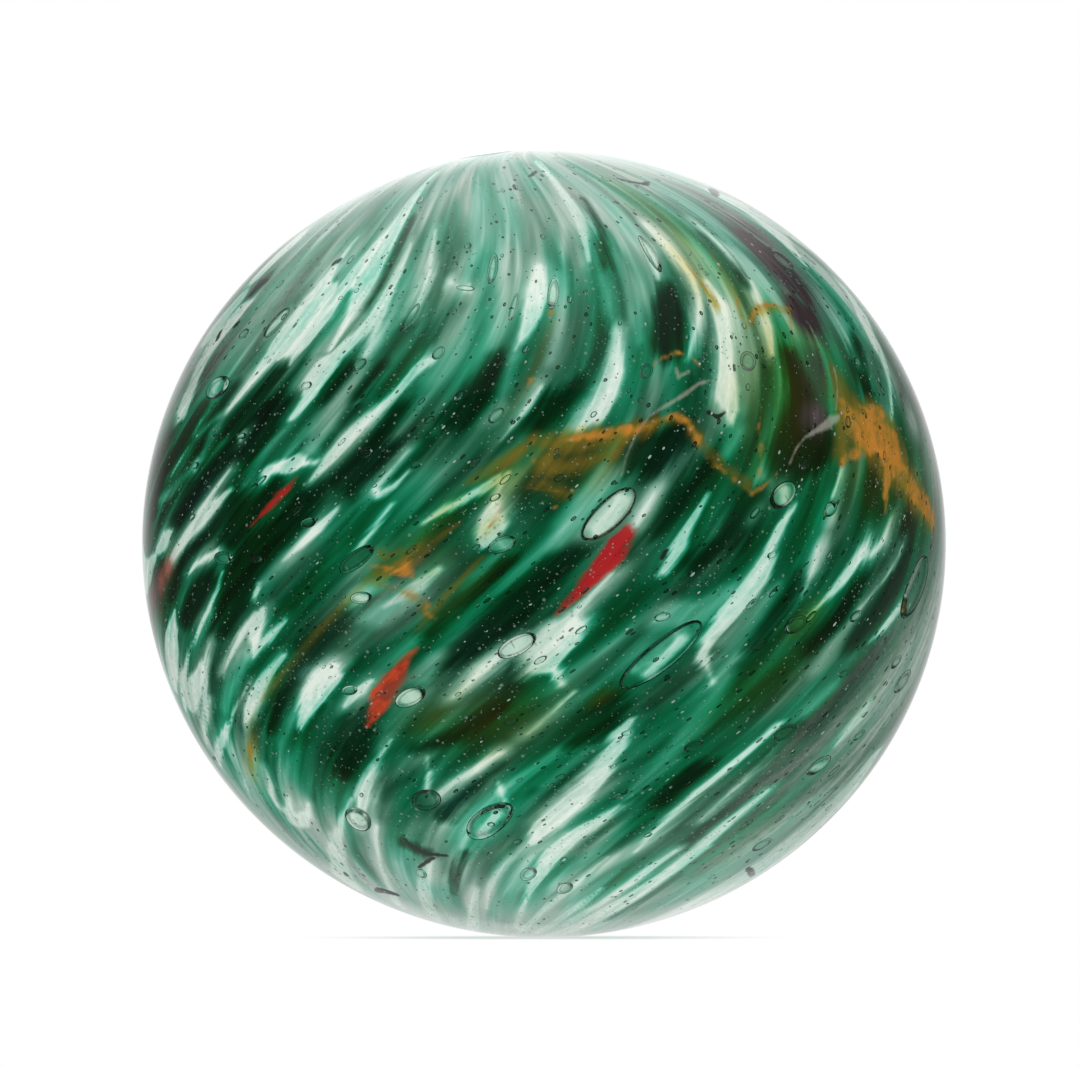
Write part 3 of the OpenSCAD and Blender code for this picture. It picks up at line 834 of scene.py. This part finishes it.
def lit_glass(n, clear, veil):
    """What white light keeps of its colour on its way through the green and the amber veil, and the grey
    towards the swirl's ends.
    """
    thick, base = green_thickness(n, clear)
    grey = n.times(n.minus(GREY_UNDER, base, clamp=True), GREY_ENDS)
    grey = n.times(grey, n.scaled(clear, -CLEAR_OF_GREY, 1.0))
    hue = n.noises["hue"]
    red_depth = n.scaled(n.larger(hue, LEAST_HUE), HUE_IN_RED, GREEN_DEPTH[0])
    depths = (red_depth, GREEN_DEPTH[1], n.scaled(hue, HUE_IN_BLUE, GREEN_DEPTH[2]))
    combine = n.new("ShaderNodeCombineColor")
    for socket, depth, amber_depth, level in zip(combine.inputs, depths, AMBER_DEPTH, WHITE_GLASS):
        passed = n.scaled(veil, amber_depth, n.scaled(thick, depth, grey))
        n.put(socket, n.times(n.math("EXPONENT", n.times(passed, -1.0)), level))
    return combine.outputs[0]


def strew_specks(n, colour, clear):
    """Fine foam painted into the colour: pale specks over the dark glass are painted glints, and dark ones
    over the clear are painted shade.
    """
    place = n.object_place()
    gathered = n.woven(*GATHERED)
    for fineness, strength in SPECKS:
        speck, own = n.specks(place, fineness)
        speck = n.times(speck, n.math("LESS_THAN", own, gathered))
        odd = n.math("GREATER_THAN", n.math("FRACT", n.times(own, RESHUFFLE)), DARK_SPECKS)
        tint = n.mix(n.larger(clear, odd), SPECK_GLINT, SPECK_SHADE)
        colour = n.mix(n.times(speck, strength), colour, tint)
    return colour


def swirl_material():
    material, n = new_material("swirl_glass", SwirlGlass)
    clear, cloud = n.edge("clear"), n.edge("cloud")
    veil = n.larger(n.stain("veil"), cloud)
    smoke = n.scaled(cloud, CLOUD_SMOKE, n.times(veil, VEIL_SMOKE))
    colour = n.mix(smoke, lit_glass(n, clear, veil), AMBER_BODY)
    colour = n.mix(n.streaked("body", cloud), colour, AMBER_OLIVE)
    # milky stains, and painted haze near the rim
    colour = n.mix(n.stain("milk_and_haze"), colour, n.tone("milk_and_haze"))
    colour = n.mix(n.stain("plum"), colour, n.tone("plum"))
    # pale film rims: painted reflection
    colour = n.mix(n.times(n.edge("film_glint"), FILM_COVER), colour, FILM_GLINT)
    amber = n.mix(n.stain("glow"), n.tone("amber"), AMBER_BRIGHT)
    colour = n.mix(n.streaked("amber", n.edge("amber")), colour, amber)
    colour = n.mix(n.times(n.edge("red"), RED_COVER), colour, n.tone("red"))
    colour = n.mix(n.streaked("orange", n.edge("orange")), colour, n.tone("orange"))
    colour = n.mix(n.stain("blush"), colour, SALMON)
    # painted glints and painted shade of tiny bubbles
    colour = strew_specks(n, colour, clear)
    colour = n.mix(n.times(n.edge("soot"), SOOT_COVER), colour, SOOT)
    finish = {"Base Color": colour, "Roughness": SWIRL_ROUGHNESS, "Specular IOR Level": 0.0}
    n.surface(n.new("ShaderNodeBsdfPrincipled", finish))
    return material


# ---------------------------------------------------------------- clear glass, air and foam

GLASS_IOR = 1.5
GLASS_TINT = (0.995, 1.0, 0.997, 1)
WAVES = (160, 160, 160)  # how many waves of hand work lie along a metre
GRAIN = (9000, 9000, 9000)  # the same for the grain of the ground spot
GROUND_ROUGHNESS, GRAIN_HEIGHT = 0.35, 0.5
WAVE_STRENGTH, WAVE_DEPTH = 0.25, 0.00006
# Painted shade at the rims of air bubbles: their glass colour darkens by how aslant it is seen.
INNER_SHADE_LINE = ((0.16, 0.26), (0.32, 0.44), 0.6)  # where the painted dark inner line of a bubble's rim starts and ends; strength
OUTER_SHADE_RIM = (0.50, 0.70)
PAINTED_RIM_SHADE = (0.01, 0.02, 0.015, 1)
FOAM_SCALE = (900, 900, 900)
# Colours of the bright grains, from FOAM_DARK to FOAM_PALE: painted glints of small bubbles.
FOAM_DARK, FOAM_PALE = (0.12, 0.20, 0.16, 1), (0.56, 0.66, 0.60, 1)
FOAM_ROUGHNESS = 0.4


def clear_material(name, ior):
    material, n = new_material(name)
    shader = n.new("ShaderNodeBsdfGlass", {"Color": GLASS_TINT, "Roughness": 0.0, "IOR": ior})
    n.surface(shader)
    return material, n, shader


def skin_material():
    """Fire-polished glass, smooth with the faint waves of hand work, and the ground spot of the pontil."""
    material, n, shader = clear_material("clear_glass", GLASS_IOR)
    place = n.object_place()
    waves = n.noise(place, WAVES, detail=2, roughness=0.4)
    grain = n.noise(place, GRAIN, detail=3, roughness=0.7)
    ground = n.field("ground")
    n.put(shader.inputs["Roughness"], n.times(ground, GROUND_ROUGHNESS))
    height = n.sum((waves, 1.0), (n.times(grain, ground), GRAIN_HEIGHT))
    bump = n.new("ShaderNodeBump", {"Strength": WAVE_STRENGTH, "Distance": WAVE_DEPTH, "Height": height})
    n.put(shader.inputs["Normal"], bump.outputs[0])
    return material


def air_material(name, rim_shade, body):
    """Air in glass. Its rim has painted shade: the glass colour darkens towards the rim, for the dark rim
    that a bubble shows where it mirrors the unlit inside of the ball.
    """
    material, n, shader = clear_material(name, 1 / GLASS_IOR)
    tilt = n.new("ShaderNodeLayerWeight", {"Blend": 0.5}).outputs["Facing"]
    start, end, strength = INNER_SHADE_LINE
    inner_shade_line = n.minus(n.step(tilt, *start), n.step(tilt, *end))
    rim = n.times(n.sum((inner_shade_line, strength), (n.step(tilt, *OUTER_SHADE_RIM), 1.0)), rim_shade)
    n.put(shader.inputs["Color"], n.mix(rim, body, PAINTED_RIM_SHADE))
    return material


def glint_grain_material():
    """Specks of foam, which catch the light: pale opaque grains, as painted glints of small bubbles."""
    material, n = new_material("painted_glint_grain")
    level = n.noise(n.object_place(), FOAM_SCALE, detail=1)
    finish = {"Base Color": n.mix(level, FOAM_DARK, FOAM_PALE), "Roughness": FOAM_ROUGHNESS}
    n.surface(n.new("ShaderNodeBsdfPrincipled", finish))
    return material


# ---------------------------------------------------------------- the clear outside

PONTIL_WIDTH = 0.0028  # the spot where the ball was broken from the rod and ground flat
PONTIL_LEAN, PONTIL_TURN = 8.5, 12.0  # tilt of the spot from +Z, and where it leans to, round from -X
PONTIL_LIP = 0.00002  # height of the soft ridge round it
LIP_REACH, GROUND_EDGE = 0.35, 0.3  # width of the ridge and of the ground glass's soft edge, in degrees
SECTORS = 300
SPOT_RINGS, RIM_RINGS, BALL_RINGS = 8, 12, 209
RIM_SPAN, BALL_START = (0.12, 1.6), 2.2  # where the rings past the spot's edge lie, in degrees from it


def pontil_frame():
    """The pontil's axis and two directions across it, as the rows of a matrix."""
    lean, turn = np.radians(PONTIL_LEAN), np.radians(PONTIL_TURN)
    axis = np.array([-np.sin(lean) * np.cos(turn), -np.sin(lean) * np.sin(turn), np.cos(lean)])
    side = np.cross(axis, (0.0, 1.0, 0.0))
    side /= np.linalg.norm(side)
    return np.stack([side, np.cross(axis, side), axis])


def build_skin():
    """The clear outside, meshed in rings round the pontil so that its rim is crisp."""
    frame_rows = pontil_frame()
    axis = frame_rows[2]
    edge = np.degrees(PONTIL_WIDTH / 2 / marble_radius(frame_rows[2:3])[0])
    rings = np.radians(np.concatenate([np.linspace(0, edge, SPOT_RINGS + 1)[1:],
                                       edge + np.linspace(*RIM_SPAN, RIM_RINGS),
                                       np.linspace(edge + BALL_START, 180, BALL_RINGS + 1)[:-1]]))
    turn = np.arange(SECTORS) * 2 * np.pi / SECTORS
    r, t = np.meshgrid(rings, turn, indexing="ij")
    local = np.stack([np.sin(r) * np.cos(t), np.sin(r) * np.sin(t), np.cos(r)], -1).reshape(-1, 3)
    local = np.vstack([local, (0, 0, 1), (0, 0, -1)])
    away = np.degrees(np.arccos(np.clip(local[:, 2], -1, 1)))
    directions = local @ frame_rows
    radius = marble_radius(directions)
    points = directions * radius[:, None]
    flat = radius[(SPOT_RINGS - 1) * SECTORS:SPOT_RINGS * SECTORS].mean() * np.cos(np.radians(edge))
    points -= np.maximum(points @ axis - flat, 0)[:, None] * axis
    lip = PONTIL_LIP * np.exp(-(((away - edge) / LIP_REACH) ** 2))
    points = np.clip(points + lip[:, None] * axis, -HALF_SIZE, HALF_SIZE)
    skin = mesh_piece("clear_glass", points + CENTRE, ring_faces(len(rings), SECTORS), skin_material())
    set_attribute(skin.data, "ground", np.clip((edge - away) / GROUND_EDGE, 0, 1))
    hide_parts("marble")
    return skin


# ---------------------------------------------------------------- the coloured swirl

CORE_SEED = 11
THICK_MIDDLE = (6, 35, 1.40)  # v, half length and gain of the part where the colour is thickest
THIN_TOP = (61, 5, 0.82)  # v where it gets thin towards an end, over how far, and by how much
THIN_BOTTOM = (-40, -6, 0.85)
SWING_MIDDLE = (6, 52, 0.68)  # the same as THICK_MIDDLE, for how much the streaks differ
LEAST_SWING = 0.32
LEAST_PALE = 0.5  # bubbles at least this pale get white under them: partly white glass, partly a painted highlight of the bubble's bright middle
UNDER_LENGTH, UNDER_WIDTH = 0.45, 0.55  # its size, as a share of the bubble's
FRONT_EDGE = -0.42  # the front's fine mesh ends at this y
COARSE_CELLS = 50  # cells along each side of the cube that is blown up into the ball
FRONT_SPLIT, BACK_SPLIT = 6, 3  # quads along each side of a cell

SOFT_COLOURS = {"veil": VEIL, "plum": PLUM, "milk_and_haze": MILK_AND_HAZE, "glow": GLOW, "blush": BLUSH}
STREAK_COLOURS = {  # chains, and how far outside them their field reaches, in degrees
    "white": (WHITE, 4), "pale": (PALE, 3), "dark": (DARK, 4), "cloud": (CLOUD, 4), "amber": (AMBER, 2),
    "red": (RED, 2), "orange": (ORANGE, 2), "film_glint": (CLEAR_FILM_GLINTS, 2), "soot": (SOOT_MARKS, 2),
}
SWIRL_PIECES = {
    "swirl_left": (lambda p: (p[..., 1] < FRONT_EDGE) & (p[..., 0] < 0), FRONT_SPLIT),
    "swirl_right": (lambda p: (p[..., 1] < FRONT_EDGE) & (p[..., 0] >= 0), FRONT_SPLIT),
    "swirl_back": (lambda p: p[..., 1] >= FRONT_EDGE, BACK_SPLIT),
}


def hump(v, middle, half_length, height):
    return height * np.exp(-(((v - middle) / half_length) ** 4))


def slope(v, middle, length, height):
    return height / (1 + np.exp((middle - v) / length))


def base_thickness(v):
    """Colour is thick round the middle and drawn out thin towards the swirl's ends."""
    return 1.0 + hump(v, *THICK_MIDDLE) - slope(v, *THIN_TOP) - slope(v, *THIN_BOTTOM)


def base_swing(v):
    """The streaks differ most round the middle and even out where they are drawn thin."""
    return LEAST_SWING + hump(v, *SWING_MIDDLE)


def pale_under_bubbles():
    """Short white chains that make the colour pale under some bubbles: partly white glass, partly a painted
    highlight for the bubble's bright middle.
    """
    return [[(u, v + end * UNDER_LENGTH * half_v, UNDER_WIDTH * half_u * pale) for end in (-1, 1)]
            for u, v, half_u, half_v, pale in BUBBLES if pale >= LEAST_PALE]


def swirl_fields(directions, lists):
    u, v = swirl_uv(directions)
    around, along = np.radians(u), np.radians(v)
    fields = {"streak": np.stack([np.cos(around), np.sin(around), along], -1),
              "thick": base_thickness(v), "swing": base_swing(v)}
    for name, stains in SOFT_COLOURS.items():
        fields[name] = stain_field(u, v, stains + stains_behind(stains))
    for name, (chains, reach) in lists.items():
        fields[name] = chain_field(u, v, chains, reach)
    return fields


def build_core():
    """The coloured swirl under the clear glass, with a finer mesh on the side that has the placed colours."""
    draw = np.random.default_rng(CORE_SEED)
    lists = {name: (chains + behind(chains, draw, NARROWEST_WHITE if name == "white" else 0.0), reach)
             for name, (chains, reach) in STREAK_COLOURS.items()}
    # white under bubbles, partly a painted highlight
    lists["white"][0].extend(pale_under_bubbles())
    material = swirl_material()
    for name, (wanted, split) in SWIRL_PIECES.items():
        directions, quads = sphere_part(COARSE_CELLS, split, wanted)
        points = directions * marble_radius(directions)[:, None] * CORE_SHARE + CENTRE
        piece = mesh_piece(name, points, quads.tolist(), material)
        for field, values in swirl_fields(directions, lists).items():
            set_attribute(piece.data, field, values)


# ---------------------------------------------------------------- bubbles and foam

BUBBLE_SEED = 7
BUBBLE_SHARE = 0.968  # how far out the placed bubbles lie, as a share of the ball
BUBBLE_MESH = (12, 20)  # rings and sectors
BUBBLE_DEPTH = (0.017, 0.002, 0.026)  # half depth for each degree of half width, added to it, and at most
STREWN = {  # how many, half width of the smallest and the largest in degrees, and rings and sectors of each
    "seed_bubbles": (520, 0.22, 0.55, 5, 8),
    "fine_seeds": (5200, 0.07, 0.25, 4, 6),
    # pale opaque grains: painted glints of small bubbles
    "bright_grains": (2100, 0.04, 0.16, 4, 6),
}
STREWN_SHARES = (0.947, 0.984)  # between the colour and the outside
STREWN_LENGTHS = (1.0, 1.9)  # half length for each half width
STREWN_DEPTH = 0.0165  # half depth for each degree of half width
LEAST_NARROWING = 0.08  # degrees of u get short towards the swirl's ends, but count no shorter
# AIR_RIM and SPECK_RIM: how dark the painted shade at a bubble's rim gets. SPECK_BODY is grey: painted shade,
# for the dark dots that the fine seeds make.
AIR_RIM, AIR_BODY = 0.66, (0.96, 1.0, 0.98, 1)
SPECK_RIM, SPECK_BODY = 0.85, (0.55, 0.60, 0.57, 1)
DRAWN_TO = 2.3  # radians from straight ahead, where drawn_forward() has died away


def drawn_forward(p, share):
    """Turns places towards the front, so that a bubble nearer the skin is seen in front of its colour."""
    turn = np.arccos(np.clip(-p[:, 1:2], -1, 1))
    deep, here = (1 + (1 / s - 1) / GLASS_IOR for s in (CORE_SHARE, share))
    front = np.interp(turn, (np.pi / 2, DRAWN_TO), (1, 0))
    kept = (1 + (here / deep - 1) * front) * turn
    aside = p * (1, 0, 1)
    aside /= np.maximum(np.linalg.norm(aside, axis=1, keepdims=True), 1e-9)
    return aside * np.sin(kept) - np.cos(kept) * np.array([0, 1, 0])


def blob_cloud(name, shape, blobs, material):
    """One piece of many bubbles: (u, v, half width, half length, share of radius, half depth share)."""
    points, faces = shape
    all_points, all_faces = [], []
    for u, v, half_u, half_v, share, half_depth in blobs:
        where = drawn_forward(swirl_point(u + points[:, 0] * half_u, v + points[:, 1] * half_v), share)
        base = len(all_points) * len(points)
        depth = (share + points[:, 2:3] * half_depth) * marble_radius(where)[:, None]
        all_points.append(where * depth + CENTRE)
        all_faces.extend(tuple(base + i for i in face) for face in faces)
    return mesh_piece(name, np.vstack(all_points), all_faces, material)


def placed_blobs():
    for_each, added, most = BUBBLE_DEPTH
    return [(u, v, half_u, half_v, BUBBLE_SHARE, min(most, for_each * min(half_u, half_v) + added))
            for u, v, half_u, half_v, _ in BUBBLES]


def strewn_blobs(draw, count, smallest, largest):
    """Small bubbles strewn through the clear glass, drawn out a little along the streaks."""
    p = draw.normal(size=(count, 3))
    p /= np.linalg.norm(p, axis=1, keepdims=True)
    u, v = swirl_uv(p)
    size = smallest + (largest - smallest) * draw.random(count) ** 3
    narrow = np.maximum(np.cos(np.radians(v)), LEAST_NARROWING)
    share = draw.uniform(*STREWN_SHARES, count)
    length = size * draw.uniform(*STREWN_LENGTHS, count)
    return np.stack([u, v, size / narrow, length, share, size * STREWN_DEPTH], -1)


def build_bubbles():
    draw = np.random.default_rng(BUBBLE_SEED)
    # Both kinds of air paint shade at the rim, and the fine seeds' air is also grey all through, as painted
    # shade.
    air = air_material("air_bubble", AIR_RIM, AIR_BODY)
    speck = air_material("air_speck", SPECK_RIM, SPECK_BODY)
    pieces = [blob_cloud("bubbles", round_blob(*BUBBLE_MESH), placed_blobs(), air)]
    # the bright grains take the painted glint material
    for (name, numbers), material in zip(STREWN.items(), (air, speck, glint_grain_material())):
        *amounts, rings, sectors = numbers
        pieces.append(blob_cloud(name, round_blob(rings, sectors), strewn_blobs(draw, *amounts), material))
    return pieces


# ---------------------------------------------------------------- the studio

CAMERA_DISTANCE = 2.0  # no farther, or the ball falls outside the depth that other views show
CAMERA_SHIFT = (-0.0037, 0.0097)  # the ball sits a little off the middle of the picture
CAMERA_NEAR = 0.01
FRAME_WIDTH = 0.05104  # what the camera sees across, at the ball
SOFTBOX_PLACE, SOFTBOX_SIZE = (0, -0.12, 0.50), (0.54, 0.66)
SOFTBOX_STRENGTH = 1.05
ROOM_LIGHT = 0.70
MIRRORED_DARK = 0.05  # how bright the unlit parts of the studio look in the glass
LIT_ASIDE = (0.35, 1.25)  # how far aside, for each step up or down, the lit part falls off
WALL_BEHIND, WALL_FROM = 0.80, 0.70  # how bright the wall beside the sweep is, and how far back it starts
BACK_LIGHT = 0.38  # what the lit part of the sweep straight behind adds
BACK_SPAN = (0.84, 0.95)  # how far back that starts and is full
PANEL_SHIFT = 0.14  # how far the panel overhead sits to the left
PANEL_LEAN = 0.84  # how far it reaches forward over the ball
PANEL_STEPS = ((-0.10, -0.04, 0.13), (0.0, 0.35, 0.20))  # where its light rises, and by how much
PANEL_BEHIND, PANEL_BACK = 0.62, (0.15, 0.58)  # what the sweep behind adds to it, and where
FLOOR_HALF = 3.0
FLOOR_GREY = (0.86, 0.86, 0.86, 1)
FLOOR_BOUNCE = 1.3  # light that the pale floor sends back up into the ball
FLOOR_SHARE = 0.7  # how far the floor glows instead of being matt, for that light
NEAR_PAPER = 0.40  # how much of the paper's own white shows straight under the ball
PAPER_SPAN = (0.004, 0.013)  # how far from there it starts to rise, and where it is full
NEAR_WHITE = 0.25  # brings the matt floor beside the ball up to the white of the rest
SWEEP_FLOOR = 0.45  # the lit floor below and behind
SWEEP_START = (-0.0128, -0.0078)  # y where it starts and where it is full
SWEEP_DIM, DIM_SPAN = 0.12, (-0.0055, -0.0020)  # how much dimmer it is farther back, and from which y on
LIMB_OUT, LIMB_FORWARD = 0.96, 0.28  # where the way from the ball to the floor starts, in half heights


def seen_rays(n):
    """1 for rays that see the studio, from the camera, mirrored or through glass; and 1 for the camera's."""
    path = n.new("ShaderNodeLightPath")
    mirrored = n.plus(path.outputs["Is Glossy Ray"], path.outputs["Is Transmission Ray"], clamp=True)
    return n.plus(path.outputs["Is Camera Ray"], mirrored, clamp=True), path.outputs["Is Camera Ray"]


def in_line(n, aside):
    """1 over, behind and below the ball, falling off to either side."""
    return n.minus(1.0, n.step(n.math("ABSOLUTE", aside), *LIT_ASIDE))


def wall_light(n, backward):
    """The wall beside the sweep brightens towards straight back."""
    near = n.times(n.minus(backward, WALL_FROM), 1 / (1 - WALL_FROM), clamp=True)
    return n.times(n.math("POWER", near, 3.0), WALL_BEHIND)


def back_light(n, backward):
    """The sweep straight behind the ball."""
    return n.times(n.step(backward, *BACK_SPAN), BACK_LIGHT)


def mirrored_floor(n, across, back):
    """How bright each place on the floor looks in the ball: the lit sweep, the wall beside it, or dark."""
    radius = -low.z
    under = n.times(n.step(back, *SWEEP_START), SWEEP_FLOOR)
    under = n.times(under, n.scaled(n.step(back, *DIM_SPAN), -SWEEP_DIM, 1.0))
    below = n.new("ShaderNodeCombineXYZ", {"X": across, "Z": low.z}).outputs[0]
    out_from = n.minus(n.length(below), LIMB_OUT * radius)
    back_from = n.plus(back, LIMB_FORWARD * radius)
    backward = n.math("SINE", n.math("ARCTAN2", back_from, out_from))
    under = n.times(n.plus(under, back_light(n, backward)), in_line(n, n.times(across, 1 / radius)))
    return n.larger(n.larger(under, wall_light(n, backward)), MIRRORED_DARK)


def floor_material():
    """Pale and matt. Its far part is the white paper that the camera and the glass see."""
    material, n = new_material("floor")
    seen, direct = seen_rays(n)
    bounced = n.new("ShaderNodeLightPath").outputs["Is Diffuse Ray"]
    place = n.object_place()
    split = n.new("ShaderNodeSeparateXYZ", {0: place})
    paper = n.scaled(n.step(n.length(place), *PAPER_SPAN), 1 - NEAR_PAPER, NEAR_PAPER)
    lit = mirrored_floor(n, split.outputs["X"], split.outputs["Y"])
    white = n.scaled(paper, -NEAR_WHITE, 1.0 + NEAR_WHITE)
    strength = n.blend(direct, n.blend(bounced, lit, FLOOR_BOUNCE), white)
    glow = n.new("ShaderNodeEmission", {"Strength": strength})
    matt = n.new("ShaderNodeBsdfDiffuse", {"Color": FLOOR_GREY})
    share = n.larger(n.minus(seen, direct, clamp=True), n.times(direct, paper))
    share = n.larger(share, n.times(bounced, FLOOR_SHARE))
    n.surface(n.new("ShaderNodeMixShader", {0: share, 1: matt.outputs[0], 2: glow.outputs[0]}))
    return material


def build_floor():
    mesh = bpy.data.meshes.new("floor")
    corners = [(x * FLOOR_HALF, y * FLOOR_HALF, 0) for x, y in ((-1, -1), (1, -1), (1, 1), (-1, 1))]
    mesh.from_pydata(corners, [], [(0, 1, 2, 3)])
    mesh.materials.append(floor_material())
    floor = bpy.data.objects.new("floor", mesh)
    floor.location.z = low.z
    bpy.context.scene.collection.objects.link(floor)


def build_world():
    """A white sweep behind and overhead, dark beside and in front, and an even room light."""
    world = bpy.data.worlds.new("studio")
    bpy.context.scene.world = world
    world.use_nodes = True
    n = Nodes(world.node_tree)
    seen, direct = seen_rays(n)
    way = n.new("ShaderNodeTexCoord").outputs["Generated"]
    across, back, up = n.new("ShaderNodeSeparateXYZ", {0: way}).outputs
    aside = n.math("DIVIDE", across, n.larger(n.math("ABSOLUTE", up), 0.001))
    overhead = n.scaled(up, PANEL_LEAN, back)
    panel = n.sum(*((n.step(overhead, start, end), light) for start, end, light in PANEL_STEPS),
                  (n.step(back, *PANEL_BACK), PANEL_BEHIND))
    panel = n.times(n.plus(panel, back_light(n, back)), in_line(n, n.plus(aside, PANEL_SHIFT)))
    backdrop = n.larger(n.larger(panel, wall_light(n, back)), MIRRORED_DARK)
    strength = n.blend(seen, ROOM_LIGHT, n.larger(direct, backdrop))
    n.surface(n.new("ShaderNodeBackground", {"Color": (1, 1, 1, 1), "Strength": strength}), kind="World")


def add_softbox(name, place, size, strength):
    light = bpy.data.lights.new(name, "AREA")
    light.shape = "RECTANGLE"
    light.size, light.size_y = size
    light.energy = strength * np.pi * size[0] * size[1]
    obj = bpy.data.objects.new(name, light)
    obj.location = place
    obj.rotation_euler = (-Vector(place)).to_track_quat("-Z", "Y").to_euler()
    obj.visible_glossy = False       # the world holds its reflection, with soft edges
    obj.visible_transmission = False
    obj.visible_camera = False
    bpy.context.scene.collection.objects.link(obj)


def build_camera():
    camera = bpy.data.cameras.new("camera")
    camera.lens = camera.sensor_width * CAMERA_DISTANCE / FRAME_WIDTH
    camera.shift_x, camera.shift_y = CAMERA_SHIFT
    camera.clip_start = CAMERA_NEAR
    obj = bpy.data.objects.new("camera", camera)
    obj.location = (0, -CAMERA_DISTANCE, 0)
    obj.rotation_euler = (np.pi / 2, 0, 0)
    bpy.context.scene.collection.objects.link(obj)
    bpy.context.scene.camera = obj


skin = build_skin()
build_core()
bubbles = build_bubbles()
for piece in (skin, *bubbles):      # light reaches the colour as through clear glass
    piece.visible_shadow = False
    piece.visible_diffuse = False
build_floor()
build_world()
add_softbox("overhead_softbox", SOFTBOX_PLACE, SOFTBOX_SIZE, SOFTBOX_STRENGTH)
build_camera()
bpy.context.scene.view_settings.view_transform = "Standard"
